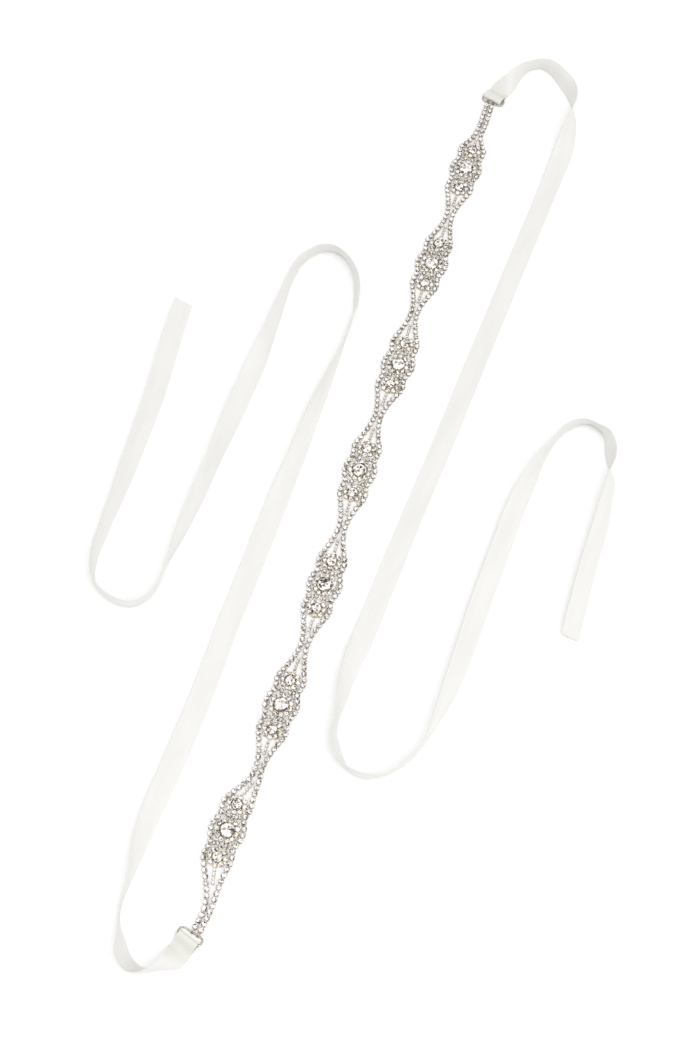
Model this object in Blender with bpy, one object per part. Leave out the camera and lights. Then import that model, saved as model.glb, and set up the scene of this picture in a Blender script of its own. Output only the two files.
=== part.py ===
"""Bridal sash laid out on a flat surface.

A band of seven crystal motifs runs along +Y between two wire loops, and a satin ribbon tail is
turned over the bar of each loop. Sizes are in millimetres and become metres in the meshes. The
origin is the bottom centre of the whole sash, and the surface it lies on is z = 0.
"""

import math
from typing import NamedTuple

import bmesh
import bpy
from mathutils import Matrix, Vector

MM = 0.001
SEAM_GAP = 0.3

# Satin ribbon
RIBBON_WIDTH = 12.7
RIBBON_WALL = 1.0
RIBBON_BOW = 1.0
LONGEST_STEP = 18.0
TURN_PER_STEP = 20.0
TURN_BACK = 5.5
FOLD_SEGMENTS = 6

# Wire loops
WIRE = 1.2
LOOP_CORNER = 1.9
LOOP_BAR_GAP = 5.4
LOOP_CORNER_POINTS = 4
LOOP_LENGTH = RIBBON_WIDTH + 2 * SEAM_GAP + WIRE
FOLD_RADIUS = WIRE / 2 + SEAM_GAP + 0.1 + RIBBON_WALL / 2
BAR_HEIGHT = RIBBON_WALL / 2 + FOLD_RADIUS

# Crystal band
MOTIFS = 7
MOTIF_PITCH = 78.35
SMALL_OFFSET = 15.6
STONE = 3.1
STONE_HEIGHT = 2.6
STONE_PITCH = 3.55
SEED = 2.0
SEED_HEIGHT = 1.8
SEED_PITCH = 2.3
SEED_COUNT = 4
SEED_ROOM = STONE / 2 + SEED / 2 + SEAM_GAP
FORK_TOP = 31.0
FORK_BOTTOM = 44.0
FORK_START = 17.0
LINK_WIDTH = 0.45
LINK_HEIGHT = 0.5
CROWN_TAPER = 0.6


class Look(NamedTuple):
    """The look of a piece: the name of its finish, its colour, roughness and metallic value."""

    finish: str
    colour: tuple
    roughness: float
    metallic: float


class Station(NamedTuple):
    """A row of a tail's route: its centre line, and its lean, where + lifts the left edge."""

    x: float
    y: float
    lean: float


class Row(NamedTuple):
    """A row of a one-valued curve along the band."""

    along: float
    value: float


class Loop(NamedTuple):
    """A wire loop: the middle of its ribbon bar, the way it faces, and how the ribbon leaves it.

    The ribbon's fold stands off the bar by the slack, and it leaves askew by so many degrees.
    """

    name: str
    x: float
    y: float
    heading: float
    askew: float
    slack: float


class Medallion(NamedTuple):
    """A round setting: a centre stone inside a ring of small stones, and a bridge to its neighbour."""

    name: str
    centre_radius: float
    table_height: float
    ring_radius: float
    ring_stones: int
    bridge: float


SATIN = Look("satin", (0.86, 0.83, 0.75), 0.35, 0.0)
SILVER = Look("silver", (0.78, 0.77, 0.75), 0.22, 1.0)
CRYSTAL = Look("crystal", (0.88, 0.88, 0.87), 0.08, 0.35)


# The half gap between the two outer strands, from a motif's middle to the waist after it.
STRAND_HALF_GAP = [
    Row(0.0, 9.2),
    Row(2.2, 9.0),
    Row(5.2, 8.0),
    Row(8.0, 6.9),
    Row(10.4, 6.9),
    Row(13.2, 7.7),
    Row(15.6, 7.9),
    Row(18.0, 7.5),
    Row(21.2, 6.2),
    Row(25.0, 4.8),
    Row(28.5, 3.7),
    Row(33.0, 2.5),
    Row(MOTIF_PITCH / 2, 1.8),
]

# How far the band's middle lies off its own straight line, from one end to the other.
BAND_DRIFT = [
    Row(-293.0, -0.6),
    Row(-279.0, 1.0),
    Row(-250.0, -3.3),
    Row(-220.0, -2.8),
    Row(-200.0, 2.0),
    Row(-157.0, 2.0),
    Row(-119.0, 2.9),
    Row(-78.0, 2.6),
    Row(-40.0, 1.0),
    Row(0.0, -0.3),
    Row(36.0, -1.0),
    Row(81.0, 0.3),
    Row(117.0, -1.0),
    Row(157.0, -1.0),
    Row(195.0, -0.5),
    Row(220.0, -0.5),
    Row(250.0, -0.6),
    Row(264.0, -0.4),
    Row(276.0, 0.3),
    Row(293.0, 0.0),
]

LARGE = Medallion("large", 4.1, 4.2, 5.75, 11, 0.0)
SMALL = Medallion("small", 3.0, 3.6, 4.5, 8, 2.6)

UPPER_LOOP = Loop("loop_upper", 1.8, 298.4, 82.5, -8.0, 1.5)
LOWER_LOOP = Loop("loop_lower", -3.6, -298.5, -104.5, -5.0, 0.7)

UPPER_ROUTE = [
    Station(6.3, 306.2, 24),
    Station(8.6, 309.8, 48),
    Station(10.3, 313.3, 60),
    Station(12.2, 318.2, 72),
    Station(15, 323.2, 86),
    Station(19, 327.8, 98),
    Station(24.5, 331, 99),
    Station(29.5, 331, 88),
    Station(35, 328.8, 77),
    Station(40.2, 325.2, 67),
    Station(45.2, 321, 60),
    Station(49.3, 316.6, 62),
    Station(52.4, 311.2, 69),
    Station(55.3, 304, 86),
    Station(56.8, 296, 109),
    Station(57, 286, 132),
    Station(57.5, 276, 148),
    Station(57, 262, 170),
    Station(54, 219, 180),
    Station(50, 160, 180),
    Station(46, 95, 180),
    Station(42, 30, 180),
    Station(38, -30, 179),
    Station(35, -85, 176),
    Station(34, -105, 165),
    Station(33, -118, 145),
    Station(33, -131, 130),
    Station(34, -143, 114),
    Station(35, -156, 100),
    Station(36, -165, 108),
    Station(39, -171.5, 115),
    Station(43, -177, 113),
    Station(47.5, -181, 104),
    Station(52, -183, 99),
    Station(57, -184, 98),
    Station(61, -184, 95),
    Station(65, -182.5, 101),
    Station(69, -180.5, 106),
    Station(73, -177, 103),
    Station(76, -173.5, 97),
    Station(80, -168, 93),
    Station(84, -160, 91),
    Station(86.5, -153, 88),
    Station(87.5, -146, 81),
    Station(89, -136, 68),
    Station(90, -127, 57),
    Station(91, -118, 46),
    Station(92, -100, 35),
    Station(93, -60, 22),
    Station(95, -20, 22),
    Station(96, 0, 28),
    Station(98, 17, 40),
    Station(100, 29, 54),
    Station(102, 39, 70),
    Station(105, 48, 84),
    Station(108, 57, 91),
    Station(112, 64, 91),
    Station(116, 68, 96),
    Station(120, 71, 104),
    Station(125, 72, 109),
    Station(130, 70.5, 107),
    Station(134.3, 68.3, 95),
    Station(137.8, 64.3, 76),
    Station(140.8, 57.7, 63),
    Station(142.8, 51.5, 69),
    Station(144.5, 46.3, 86),
    Station(146, 39.5, 112),
    Station(146.6, 33, 121),
    Station(146.8, 22, 129),
    Station(147.4, 10, 139),
    Station(147, -20, 145),
    Station(148, -68, 150),
]

LOWER_ROUTE = [
    Station(-7, -310, -20),
    Station(-10.5, -314.5, -60),
    Station(-16, -319, -90),
    Station(-22, -321.8, -112),
    Station(-28, -321, -128),
    Station(-34, -316, -126),
    Station(-37, -309.5, -110),
    Station(-39.5, -305, -98),
    Station(-42, -298.5, -85),
    Station(-43.5, -291, -82),
    Station(-44, -285, -87),
    Station(-44.5, -274, -99),
    Station(-46, -254, -132),
    Station(-46, -236, -147),
    Station(-45, -218, -155),
    Station(-44, -197, -165),
    Station(-43, -160, -172),
    Station(-43, -122, -172),
    Station(-42, -82, -170),
    Station(-41, -42, -166),
    Station(-40, -18, -148),
    Station(-39, 5, -137),
    Station(-39, 25, -130),
    Station(-37.5, 47, -114),
    Station(-36.5, 67, -97),
    Station(-36, 80, -87),
    Station(-36, 90, -83),
    Station(-36, 98, -81),
    Station(-36, 105, -77),
    Station(-37.5, 112, -74),
    Station(-39, 118, -72),
    Station(-41, 124, -74),
    Station(-43, 129, -78),
    Station(-45.5, 133, -84),
    Station(-48, 136.8, -90),
    Station(-51.5, 140.5, -96),
    Station(-55, 143.3, -101),
    Station(-59, 145.2, -103),
    Station(-63, 146, -103),
    Station(-68, 145, -102),
    Station(-72, 143, -100),
    Station(-76, 138.5, -97),
    Station(-79.5, 133, -92),
    Station(-81.5, 127.5, -86),
    Station(-82.5, 121, -83),
    Station(-83, 112, -82),
    Station(-83, 102, -75),
    Station(-83, 92, -68),
    Station(-83, 80, -61),
    Station(-83, 70, -54),
    Station(-83.5, 60, -38),
    Station(-84.5, 42, -20),
    Station(-85.5, 18, -28),
    Station(-86, -5, -45),
    Station(-86.5, -22, -55),
    Station(-87.5, -45, -55),
    Station(-88, -58, -62),
    Station(-88.5, -70, -69),
    Station(-89, -80, -78),
    Station(-89.5, -89, -90),
    Station(-90, -97, -98),
    Station(-90, -106, -102),
    Station(-91, -114, -101),
    Station(-93.5, -119.5, -101),
    Station(-97, -123.5, -100),
    Station(-101, -126, -98),
    Station(-106, -126.5, -97),
    Station(-111, -126, -96),
    Station(-116, -124.5, -95),
    Station(-121, -122, -93),
    Station(-125, -119, -94),
    Station(-128, -115, -97),
    Station(-130, -110, -98),
    Station(-131.5, -104, -101),
    Station(-132.5, -97, -105),
    Station(-132.5, -88, -108),
    Station(-133, -78, -112),
    Station(-133, -60, -120),
    Station(-134, -38, -136),
    Station(-135, -10, -142),
    Station(-136, 10, -152),
    Station(-138, 30, -160),
    Station(-140, 52, -155),
    Station(-142, 81, -148),
]


def clear_scene():
    """Remove every object of the scene this script is run in."""
    for old in list(bpy.data.objects):
        bpy.data.objects.remove(old, do_unlink=True)


def new_collection(name):
    """Return a new collection linked to the scene."""
    collection = bpy.data.collections.new(name)
    bpy.context.scene.collection.children.link(collection)
    return collection


def add_object(name, data, collection, root, look):
    """Link an object for one node under the root, with a Principled material of its own."""
    material = bpy.data.materials.new(f"{name}_{look.finish}")
    material.use_nodes = True
    shader = material.node_tree.nodes["Principled BSDF"]
    shader.inputs["Base Color"].default_value = (*look.colour, 1.0)
    shader.inputs["Roughness"].default_value = look.roughness
    shader.inputs["Metallic"].default_value = look.metallic
    data.materials.append(material)
    piece = bpy.data.objects.new(name, data)
    piece.parent = root
    collection.objects.link(piece)
    return piece


def limited_slopes(knots, values):
    """Return a slope at each knot that keeps the curve between its rows from overshooting."""
    rises = [
        (values[i + 1] - values[i]) / (knots[i + 1] - knots[i]) for i in range(len(knots) - 1)
    ]
    slopes = [rises[0]]
    for before, after in zip(rises, rises[1:]):
        if before * after <= 0:
            slopes.append(0.0)
        else:
            slopes.append(2 * before * after / (before + after))
    slopes.append(rises[-1])
    return slopes


def free_slopes(knots, values):
    """Return a slope at each knot from the rows on either side of it."""
    last = len(knots) - 1
    return [
        (values[min(i + 1, last)] - values[max(i - 1, 0)])
        / (knots[min(i + 1, last)] - knots[max(i - 1, 0)])
        for i in range(last + 1)
    ]


def curve_value(knots, values, slopes, at):
    """Return the value of the cubic curve through the knots at one place."""
    last = len(knots) - 2
    span = max(i for i in range(last + 1) if i == 0 or knots[i] <= at)
    width = knots[span + 1] - knots[span]
    t = min(max((at - knots[span]) / width, 0.0), 1.0)
    blend = t * t * (3 - 2 * t)
    rise_in = t * (1 - t) ** 2 * width * slopes[span]
    rise_out = t * t * (t - 1) * width * slopes[span + 1]
    return values[span] * (1 - blend) + values[span + 1] * blend + rise_in + rise_out


def row_value(rows, at):
    """Return the value of a table of rows at one place along the band."""
    knots = [row.along for row in rows]
    values = [row.value for row in rows]
    return curve_value(knots, values, limited_slopes(knots, values), at)


def skin(sections, closed_ends=True):
    """Return a mesh through sections of equal point counts, closed at its two ends."""
    shape = bmesh.new()
    rings = [[shape.verts.new(point * MM) for point in section] for section in sections]
    for ring, following in zip(rings, rings[1:]):
        for i in range(len(ring)):
            j = (i + 1) % len(ring)
            shape.faces.new((ring[i], ring[j], following[j], following[i]))
    if closed_ends:
        shape.faces.new(reversed(rings[0]))
        shape.faces.new(rings[-1])
    bmesh.ops.recalc_face_normals(shape, faces=shape.faces)
    return shape


def to_mesh(shape, name, sharp_angle=35.0):
    """Turn a bmesh into smooth-shaded mesh data."""
    data = bpy.data.meshes.new(name)
    shape.to_mesh(data)
    shape.free()
    data.shade_smooth()
    data.set_sharp_from_angle(angle=math.radians(sharp_angle))
    return data


# Ribbon tails


def ribbon_section(centre, across, normal, bow):
    """Return the six points of the ribbon's wall across its width, bowed in the middle."""
    half, wall = RIBBON_WIDTH / 2, RIBBON_WALL / 2
    middle = centre + normal * bow
    left, right = centre + across * half, centre - across * half
    return [
        right - normal * wall,
        middle - normal * wall,
        left - normal * wall,
        left + normal * wall,
        middle + normal * wall,
        right + normal * wall,
    ]


def route_samples(route):
    """Return the route's centre line and lean at each millimetre or so."""
    knots = [0.0]
    for here, there in zip(route, route[1:]):
        knots.append(knots[-1] + math.dist(here[:2], there[:2]))
    columns = [[station[i] for station in route] for i in range(3)]
    slopes = [free_slopes(knots, columns[0]), free_slopes(knots, columns[1])]
    slopes.append(limited_slopes(knots, columns[2]))
    count = math.ceil(knots[-1])
    places = [knots[-1] * i / count for i in range(count + 1)]
    return [
        Station(*(curve_value(knots, columns[i], slopes[i], place) for i in range(3)))
        for place in places
    ]


def heading_at(samples, index):
    """Return the route's direction of travel at one sample."""
    before, after = samples[max(index - 1, 0)], samples[min(index + 1, len(samples) - 1)]
    return Vector((after.x - before.x, after.y - before.y, 0.0)).normalized()


def section_places(samples):
    """Choose the samples that get a section: closer together where the ribbon turns or twists."""
    chosen, effort = [0], 0.0
    for i in range(1, len(samples)):
        here, before = samples[i], samples[i - 1]
        effort += math.dist(here[:2], before[:2]) / LONGEST_STEP
        bend = heading_at(samples, i).angle(heading_at(samples, i - 1))
        effort += (math.degrees(bend) + abs(here.lean - before.lean)) / TURN_PER_STEP
        if effort >= 1.0:
            chosen.append(i)
            effort = 0.0
    if chosen[-1] != len(samples) - 1:
        chosen[-1] = len(samples) - 1
    return chosen


def route_sections(route):
    """Return the ribbon's sections along a route, each with its lowest point on the surface."""
    samples = route_samples(route)
    sections = []
    for index in section_places(samples):
        travel = heading_at(samples, index)
        left = Vector((-travel.y, travel.x, 0.0))
        lean = math.radians(samples[index].lean)
        across = left * math.cos(lean) + Vector((0, 0, math.sin(lean)))
        normal = travel.cross(across)
        centre = Vector((samples[index].x, samples[index].y, 0.0))
        points = ribbon_section(centre, across, normal, RIBBON_BOW * abs(math.sin(lean)))
        drop = min(point.z for point in points)
        sections.append([point - Vector((0, 0, drop)) for point in points])
    return sections


def fold_sections(loop):
    """Return the sections of the end turned under, round the bar and back over itself."""
    heading = math.radians(loop.heading + loop.askew)
    travel = Vector((math.cos(heading), math.sin(heading), 0.0))
    left = Vector((-travel.y, travel.x, 0.0))
    bar = Vector((loop.x, loop.y, 0.0))
    low, top = RIBBON_WALL / 2, RIBBON_WALL / 2 + 2 * FOLD_RADIUS
    over = RIBBON_WALL * 1.5 + SEAM_GAP
    path = [(TURN_BACK, low, 180.0), (TURN_BACK / 2, low, 180.0)]
    for i in range(FOLD_SEGMENTS + 1):
        turn = math.pi * i / FOLD_SEGMENTS
        out = -loop.slack - FOLD_RADIUS * math.sin(turn)
        path.append((out, BAR_HEIGHT - FOLD_RADIUS * math.cos(turn), 180.0 - math.degrees(turn)))
    path += [(1.5, top, 0.0), (TURN_BACK * 0.8, over, 0.0), (TURN_BACK + 0.7, over, 0.0)]
    sections = []
    for along, height, tilt in path:
        pitch = math.radians(tilt)
        direction = travel * math.cos(pitch) + Vector((0, 0, math.sin(pitch)))
        centre = bar + travel * along + Vector((0, 0, height))
        sections.append(ribbon_section(centre, left, direction.cross(left), 0.0))
    return sections


def ribbon_tail(name, loop, route):
    """Return the mesh of one ribbon tail, from its turned-back end to its cut end."""
    return to_mesh(skin(fold_sections(loop) + route_sections(route)), name)


# Wire loops


def wire_loop(loop):
    """Return the curve of a rounded wire rectangle whose far bar lies inside the ribbon's fold."""
    heading = math.radians(loop.heading)
    travel = Vector((math.cos(heading), math.sin(heading), 0.0))
    side = Vector((-travel.y, travel.x, 0.0))
    drop = BAR_HEIGHT - WIRE / 2
    back = math.sqrt(LOOP_BAR_GAP**2 - drop**2)
    depth = (travel * -back + Vector((0, 0, -drop))) / LOOP_BAR_GAP
    bar = Vector((loop.x, loop.y, BAR_HEIGHT))
    spans = (LOOP_LENGTH / 2 - LOOP_CORNER, LOOP_BAR_GAP / 2 - LOOP_CORNER)
    middle = bar + depth * (LOOP_BAR_GAP / 2)
    curve = bpy.data.curves.new(loop.name, "CURVE")
    curve.dimensions = "3D"
    curve.bevel_depth = WIRE / 2 * MM
    curve.bevel_resolution = 2
    points = []
    for quarter, (sign_side, sign_depth) in enumerate(((1, 1), (-1, 1), (-1, -1), (1, -1))):
        corner = middle + side * spans[0] * sign_side + depth * spans[1] * sign_depth
        for i in range(LOOP_CORNER_POINTS):
            turn = math.radians(90 * quarter + 90 * i / (LOOP_CORNER_POINTS - 1))
            points.append(corner + (side * math.cos(turn) + depth * math.sin(turn)) * LOOP_CORNER)
    spline = curve.splines.new("POLY")
    spline.points.add(len(points) - 1)
    for target, point in zip(spline.points, points):
        target.co = (*(point * MM), 1.0)
    spline.use_cyclic_u = True
    return curve


# Crystal strands


def strand_half_gap(along):
    """Return half the distance between the outer strands at one place along the band."""
    motif = min(max(round(along / MOTIF_PITCH), -(MOTIFS // 2)), MOTIFS // 2)
    offset = along - motif * MOTIF_PITCH
    distance = abs(offset)
    waist = MOTIF_PITCH / 2
    if motif == MOTIFS // 2 and offset > 0:
        waist = FORK_TOP
    if motif == -(MOTIFS // 2) and offset < 0:
        waist = FORK_BOTTOM
    if distance > FORK_START:
        stretch = (MOTIF_PITCH / 2 - FORK_START) / (waist - FORK_START)
        distance = FORK_START + (distance - FORK_START) * stretch
    return row_value(STRAND_HALF_GAP, min(distance, MOTIF_PITCH / 2))


def wire_edge(loop, across):
    """Return where a strand at one place across the band stops short of the loop's near wire."""
    heading = math.radians(loop.heading)
    reach = LOOP_BAR_GAP + WIRE / 2 + SEAM_GAP + STONE * LINK_WIDTH / 4
    return loop.y - ((across - loop.x) * math.cos(heading) + reach) / math.sin(heading)


def strand_points(side):
    """Return the centre line of one outer strand, a point each half millimetre."""
    bottom, top = (
        wire_edge(loop, row_value(BAND_DRIFT, loop.y) + side * STRAND_HALF_GAP[-1].value)
        for loop in (LOWER_LOOP, UPPER_LOOP)
    )
    count = int((top - bottom) * 2)
    points = []
    for i in range(count + 1):
        along = bottom + (top - bottom) * i / count
        across = row_value(BAND_DRIFT, along) + side * strand_half_gap(along)
        points.append(Vector((across, along, 0.0)))
    return points


def even_places(points, pitch):
    """Return places half a pitch apart along a line of points, and the pitch that fits it."""
    lengths = [0.0]
    for here, there in zip(points, points[1:]):
        lengths.append(lengths[-1] + (there - here).length)
    stones = round(lengths[-1] / pitch)
    half = lengths[-1] / (2 * stones)
    places, index = [], 0
    for i in range(2 * stones + 1):
        while index < len(points) - 2 and lengths[index + 1] < half * i:
            index += 1
        share = (half * i - lengths[index]) / (lengths[index + 1] - lengths[index])
        direction = (points[index + 1] - points[index]).normalized()
        places.append((points[index].lerp(points[index + 1], share), direction))
    return places


def beaded(points, pitch, width, height):
    """Return the mesh of a line of stones, wide at each stone and narrow at the links."""
    sections = []
    for i, (centre, travel) in enumerate(even_places(points, pitch)):
        size = 1.0 if i % 2 else LINK_WIDTH
        tall = height if i % 2 else height * LINK_HEIGHT
        side = Vector((-travel.y, travel.x, 0.0)) * (width / 2 * size)
        up = Vector((0, 0, tall))
        top = side * CROWN_TAPER
        sections.append([centre - side, centre + side, centre + top + up, centre - top + up])
    return to_mesh(skin(sections), "beaded")


def seed_line(motif, end):
    """Return the centre line of the fine strand between a small medallion and its waist."""
    start = SMALL_OFFSET + SMALL.ring_radius + STONE / 2 + SEAM_GAP
    middle = motif * MOTIF_PITCH
    seeds = SEED_COUNT
    while strand_half_gap(middle + end * (start + SEED_PITCH * (seeds - 0.5))) < SEED_ROOM:
        seeds -= 1
    line = []
    for i in range(seeds * 2 + 1):
        along = middle + end * (start + SEED_PITCH * i / 2)
        line.append(Vector((row_value(BAND_DRIFT, along), along, 0.0)))
    return line


# Medallions


def medallion_mesh(kind):
    """Return the mesh of a medallion about its own middle, its bridge towards +Y."""
    steps = 2 * kind.ring_stones
    inner, outer = kind.ring_radius, kind.ring_radius + STONE / 2
    rings = [[] for _ in range(6)]
    for step in range(steps):
        turn = 2 * math.pi * step / steps + math.pi / 2
        on_stone = step % 2 == 0
        rim = outer if on_stone else outer - 0.5
        if kind.bridge and step in (0, 1, steps - 1):
            rim = outer + (kind.bridge if not on_stone else kind.bridge * 0.7)
        crest = STONE_HEIGHT if on_stone else STONE_HEIGHT * 0.6
        profile = (
            (rim, 0.0),
            (rim, STONE_HEIGHT * 0.6),
            (inner + 0.3, crest),
            (kind.centre_radius + 0.2, STONE_HEIGHT * 0.55),
            (kind.centre_radius, kind.table_height * 0.7),
            (kind.centre_radius * 0.6, kind.table_height),
        )
        direction = Vector((math.cos(turn), math.sin(turn), 0.0))
        for ring, (radius, height) in zip(rings, profile):
            ring.append(direction * radius + Vector((0, 0, height)))
    return to_mesh(skin(rings), "medallion_" + kind.name)


def place_medallion(piece, along, flip):
    """Put a medallion on the band's middle line, turned to follow it."""
    ahead = row_value(BAND_DRIFT, along + 5) - row_value(BAND_DRIFT, along - 5)
    piece.location = Vector((row_value(BAND_DRIFT, along), along, 0.0)) * MM
    piece.rotation_euler.z = math.radians(180 * flip) - math.atan2(ahead, 10)


def centre_on_origin(root, pieces):
    """Move the root so that the sash's box stands bottom centre on the origin."""
    bpy.context.view_layer.update()
    corners = [piece.matrix_world @ Vector(corner) for piece in pieces for corner in piece.bound_box]
    low = Vector(map(min, zip(*corners)))
    high = Vector(map(max, zip(*corners)))
    root.location = Vector((-(low.x + high.x) / 2, -(low.y + high.y) / 2, -low.z))


def build():
    """Build every piece of the sash."""
    clear_scene()
    collection = new_collection("bridal_sash")
    root = bpy.data.objects.new("bridal_sash_root", None)
    collection.objects.link(root)

    pieces = []
    for name, loop, route in (
        ("ribbon_tail_upper", UPPER_LOOP, UPPER_ROUTE),
        ("ribbon_tail_lower", LOWER_LOOP, LOWER_ROUTE),
    ):
        pieces.append(add_object(name, ribbon_tail(name, loop, route), collection, root, SATIN))
        pieces.append(add_object(loop.name, wire_loop(loop), collection, root, SILVER))
    for name, side in (("strand_left", -1), ("strand_right", 1)):
        data = beaded(strand_points(side), STONE_PITCH, STONE, STONE_HEIGHT)
        pieces.append(add_object(name, data, collection, root, CRYSTAL))

    large, small = medallion_mesh(LARGE), medallion_mesh(SMALL)
    for number in range(1, MOTIFS + 1):
        motif = MOTIFS // 2 + 1 - number
        middle = motif * MOTIF_PITCH
        rows = (("a", small, middle + SMALL_OFFSET, 1), ("b", large, middle, 0))
        rows += (("c", small, middle - SMALL_OFFSET, 0),)
        for letter, data, along, flip in rows:
            name = f"medallion_{number}{letter}"
            piece = add_object(name, data.copy(), collection, root, CRYSTAL)
            place_medallion(piece, along, flip)
            pieces.append(piece)
        for letter, end in (("a", 1), ("c", -1)):
            data = beaded(seed_line(motif, end), SEED_PITCH, SEED, SEED_HEIGHT)
            name = f"seed_strand_{number}{letter}"
            pieces.append(add_object(name, data, collection, root, CRYSTAL))
    centre_on_origin(root, pieces)


build()
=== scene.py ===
"""Bridal sash laid flat: its satin tails, wire loops and crystal band, dressed for a studio view.

Lengths are in millimetres until a mesh is finished, when they become metres. The band runs along
+Y, and LAID is where its own frame lies in the frame of the model.
"""

import logging
import math
import random
from dataclasses import dataclass, field
from enum import Enum
from typing import NamedTuple, Optional, Sequence

import bmesh
import bpy
from bmesh.types import BMEdge, BMesh, BMFace, BMVert
from bpy.types import Material, Mesh, Node, NodeSocket, NodeTree, Object
from mathutils import Matrix, Vector


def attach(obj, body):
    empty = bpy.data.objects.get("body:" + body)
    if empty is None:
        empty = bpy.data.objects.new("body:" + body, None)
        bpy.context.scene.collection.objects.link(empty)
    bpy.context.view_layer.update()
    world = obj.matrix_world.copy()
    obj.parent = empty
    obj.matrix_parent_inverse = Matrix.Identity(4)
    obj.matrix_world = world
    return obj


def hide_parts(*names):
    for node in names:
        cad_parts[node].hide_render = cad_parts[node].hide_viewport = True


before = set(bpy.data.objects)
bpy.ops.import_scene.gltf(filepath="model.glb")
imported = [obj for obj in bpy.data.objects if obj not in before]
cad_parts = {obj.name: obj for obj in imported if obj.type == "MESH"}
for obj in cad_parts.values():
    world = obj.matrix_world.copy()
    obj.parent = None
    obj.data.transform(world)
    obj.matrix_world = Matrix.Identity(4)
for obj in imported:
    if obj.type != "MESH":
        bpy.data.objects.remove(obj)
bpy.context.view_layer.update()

LOG = logging.getLogger("bridal_sash")
MM = 0.001
LAID = Vector((-3.0556, -3.4132, 0.0))
RIBBON_WIDTH = 12.7
Colour = tuple[float, float, float]


# Tables of the laid sash


def rows_of(kind: type, *rows: tuple) -> list:
    """A table's rows, with the names of its columns."""
    return [kind(*row) for row in rows]


class Station(NamedTuple):
    """A row of a tail's route: its centre line, and its lean, where + lifts the left edge."""

    x: float
    y: float
    lean: float


class Row(NamedTuple):
    """A row of a one-valued curve along the band."""

    along: float
    value: float


class Crease(NamedTuple):
    """A soft crease: its middle, its turn from the ribbon's run, its size, and its depth."""

    along: float
    across: float
    turn: float
    length: float
    width: float
    depth: float


STRAND_HALF_GAP = rows_of(
    Row,
    (0.0, 9.2), (2.2, 9.0), (5.2, 8.0), (8.0, 6.9), (10.4, 6.9), (13.2, 7.7), (15.6, 7.9),
    (18.0, 7.5), (21.2, 6.2), (25.0, 4.8), (28.5, 3.7), (33.0, 2.5), (39.175, 1.8),
)

BAND_DRIFT = rows_of(
    Row,
    (-293.0, -0.6), (-279.0, 1.0), (-250.0, -3.3), (-220.0, -2.8), (-200.0, 2.0), (-157.0, 2.0),
    (-119.0, 2.9), (-78.0, 2.6), (-40.0, 1.0), (0.0, -0.3), (36.0, -1.0), (81.0, 0.3),
    (117.0, -1.0), (157.0, -1.0), (195.0, -0.5), (220.0, -0.5), (250.0, -0.6), (264.0, -0.4),
    (276.0, 0.3), (293.0, 0.0),
)

UPPER_ROUTE = rows_of(
    Station,
    (5.7, 306.4, 22), (8.6, 309.8, 48), (10.3, 313.3, 60), (12.2, 318.2, 72), (15, 323.2, 86),
    (19, 327.8, 98), (24.5, 331, 99), (29.5, 331, 88), (35, 328.8, 77), (40.2, 325.2, 67),
    (45.2, 321, 60), (49.3, 316.6, 62), (52.4, 311.2, 69), (55.3, 304, 86), (56.8, 296, 109),
    (57, 286, 132), (57.5, 276, 148), (57, 262, 170), (54, 219, 180), (50, 160, 180), (46, 95, 180),
    (42, 30, 180), (38, -30, 179), (35, -85, 176), (34, -105, 165), (33, -118, 145),
    (33, -131, 130), (34, -143, 114), (35, -156, 100), (36, -165, 108), (39, -171.5, 115),
    (43, -177, 113), (47.5, -181, 104), (52, -183, 99), (57, -184, 98), (61, -184, 95),
    (65, -182.5, 101), (69, -180.5, 106), (73, -177, 103), (76, -173.5, 97), (80, -168, 93),
    (84, -160, 91), (86.5, -153, 88), (87.5, -146, 81), (89, -136, 68), (90, -127, 57),
    (91, -118, 46), (92, -100, 35), (93, -60, 22), (95, -20, 22), (96, 0, 28), (98, 17, 40),
    (100, 29, 54), (102, 39, 70), (105, 48, 84), (108, 57, 91), (112, 64, 91), (116, 68, 96),
    (120, 71, 104), (125, 72, 109), (130, 70.5, 107), (134.3, 68.3, 95), (137.8, 64.3, 76),
    (140.8, 57.7, 63), (142.8, 51.5, 69), (144.5, 46.3, 86), (146, 39.5, 112), (146.6, 33, 121),
    (146.8, 22, 129), (147.4, 10, 139), (147, -20, 145), (148, -68, 150),
)

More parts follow.
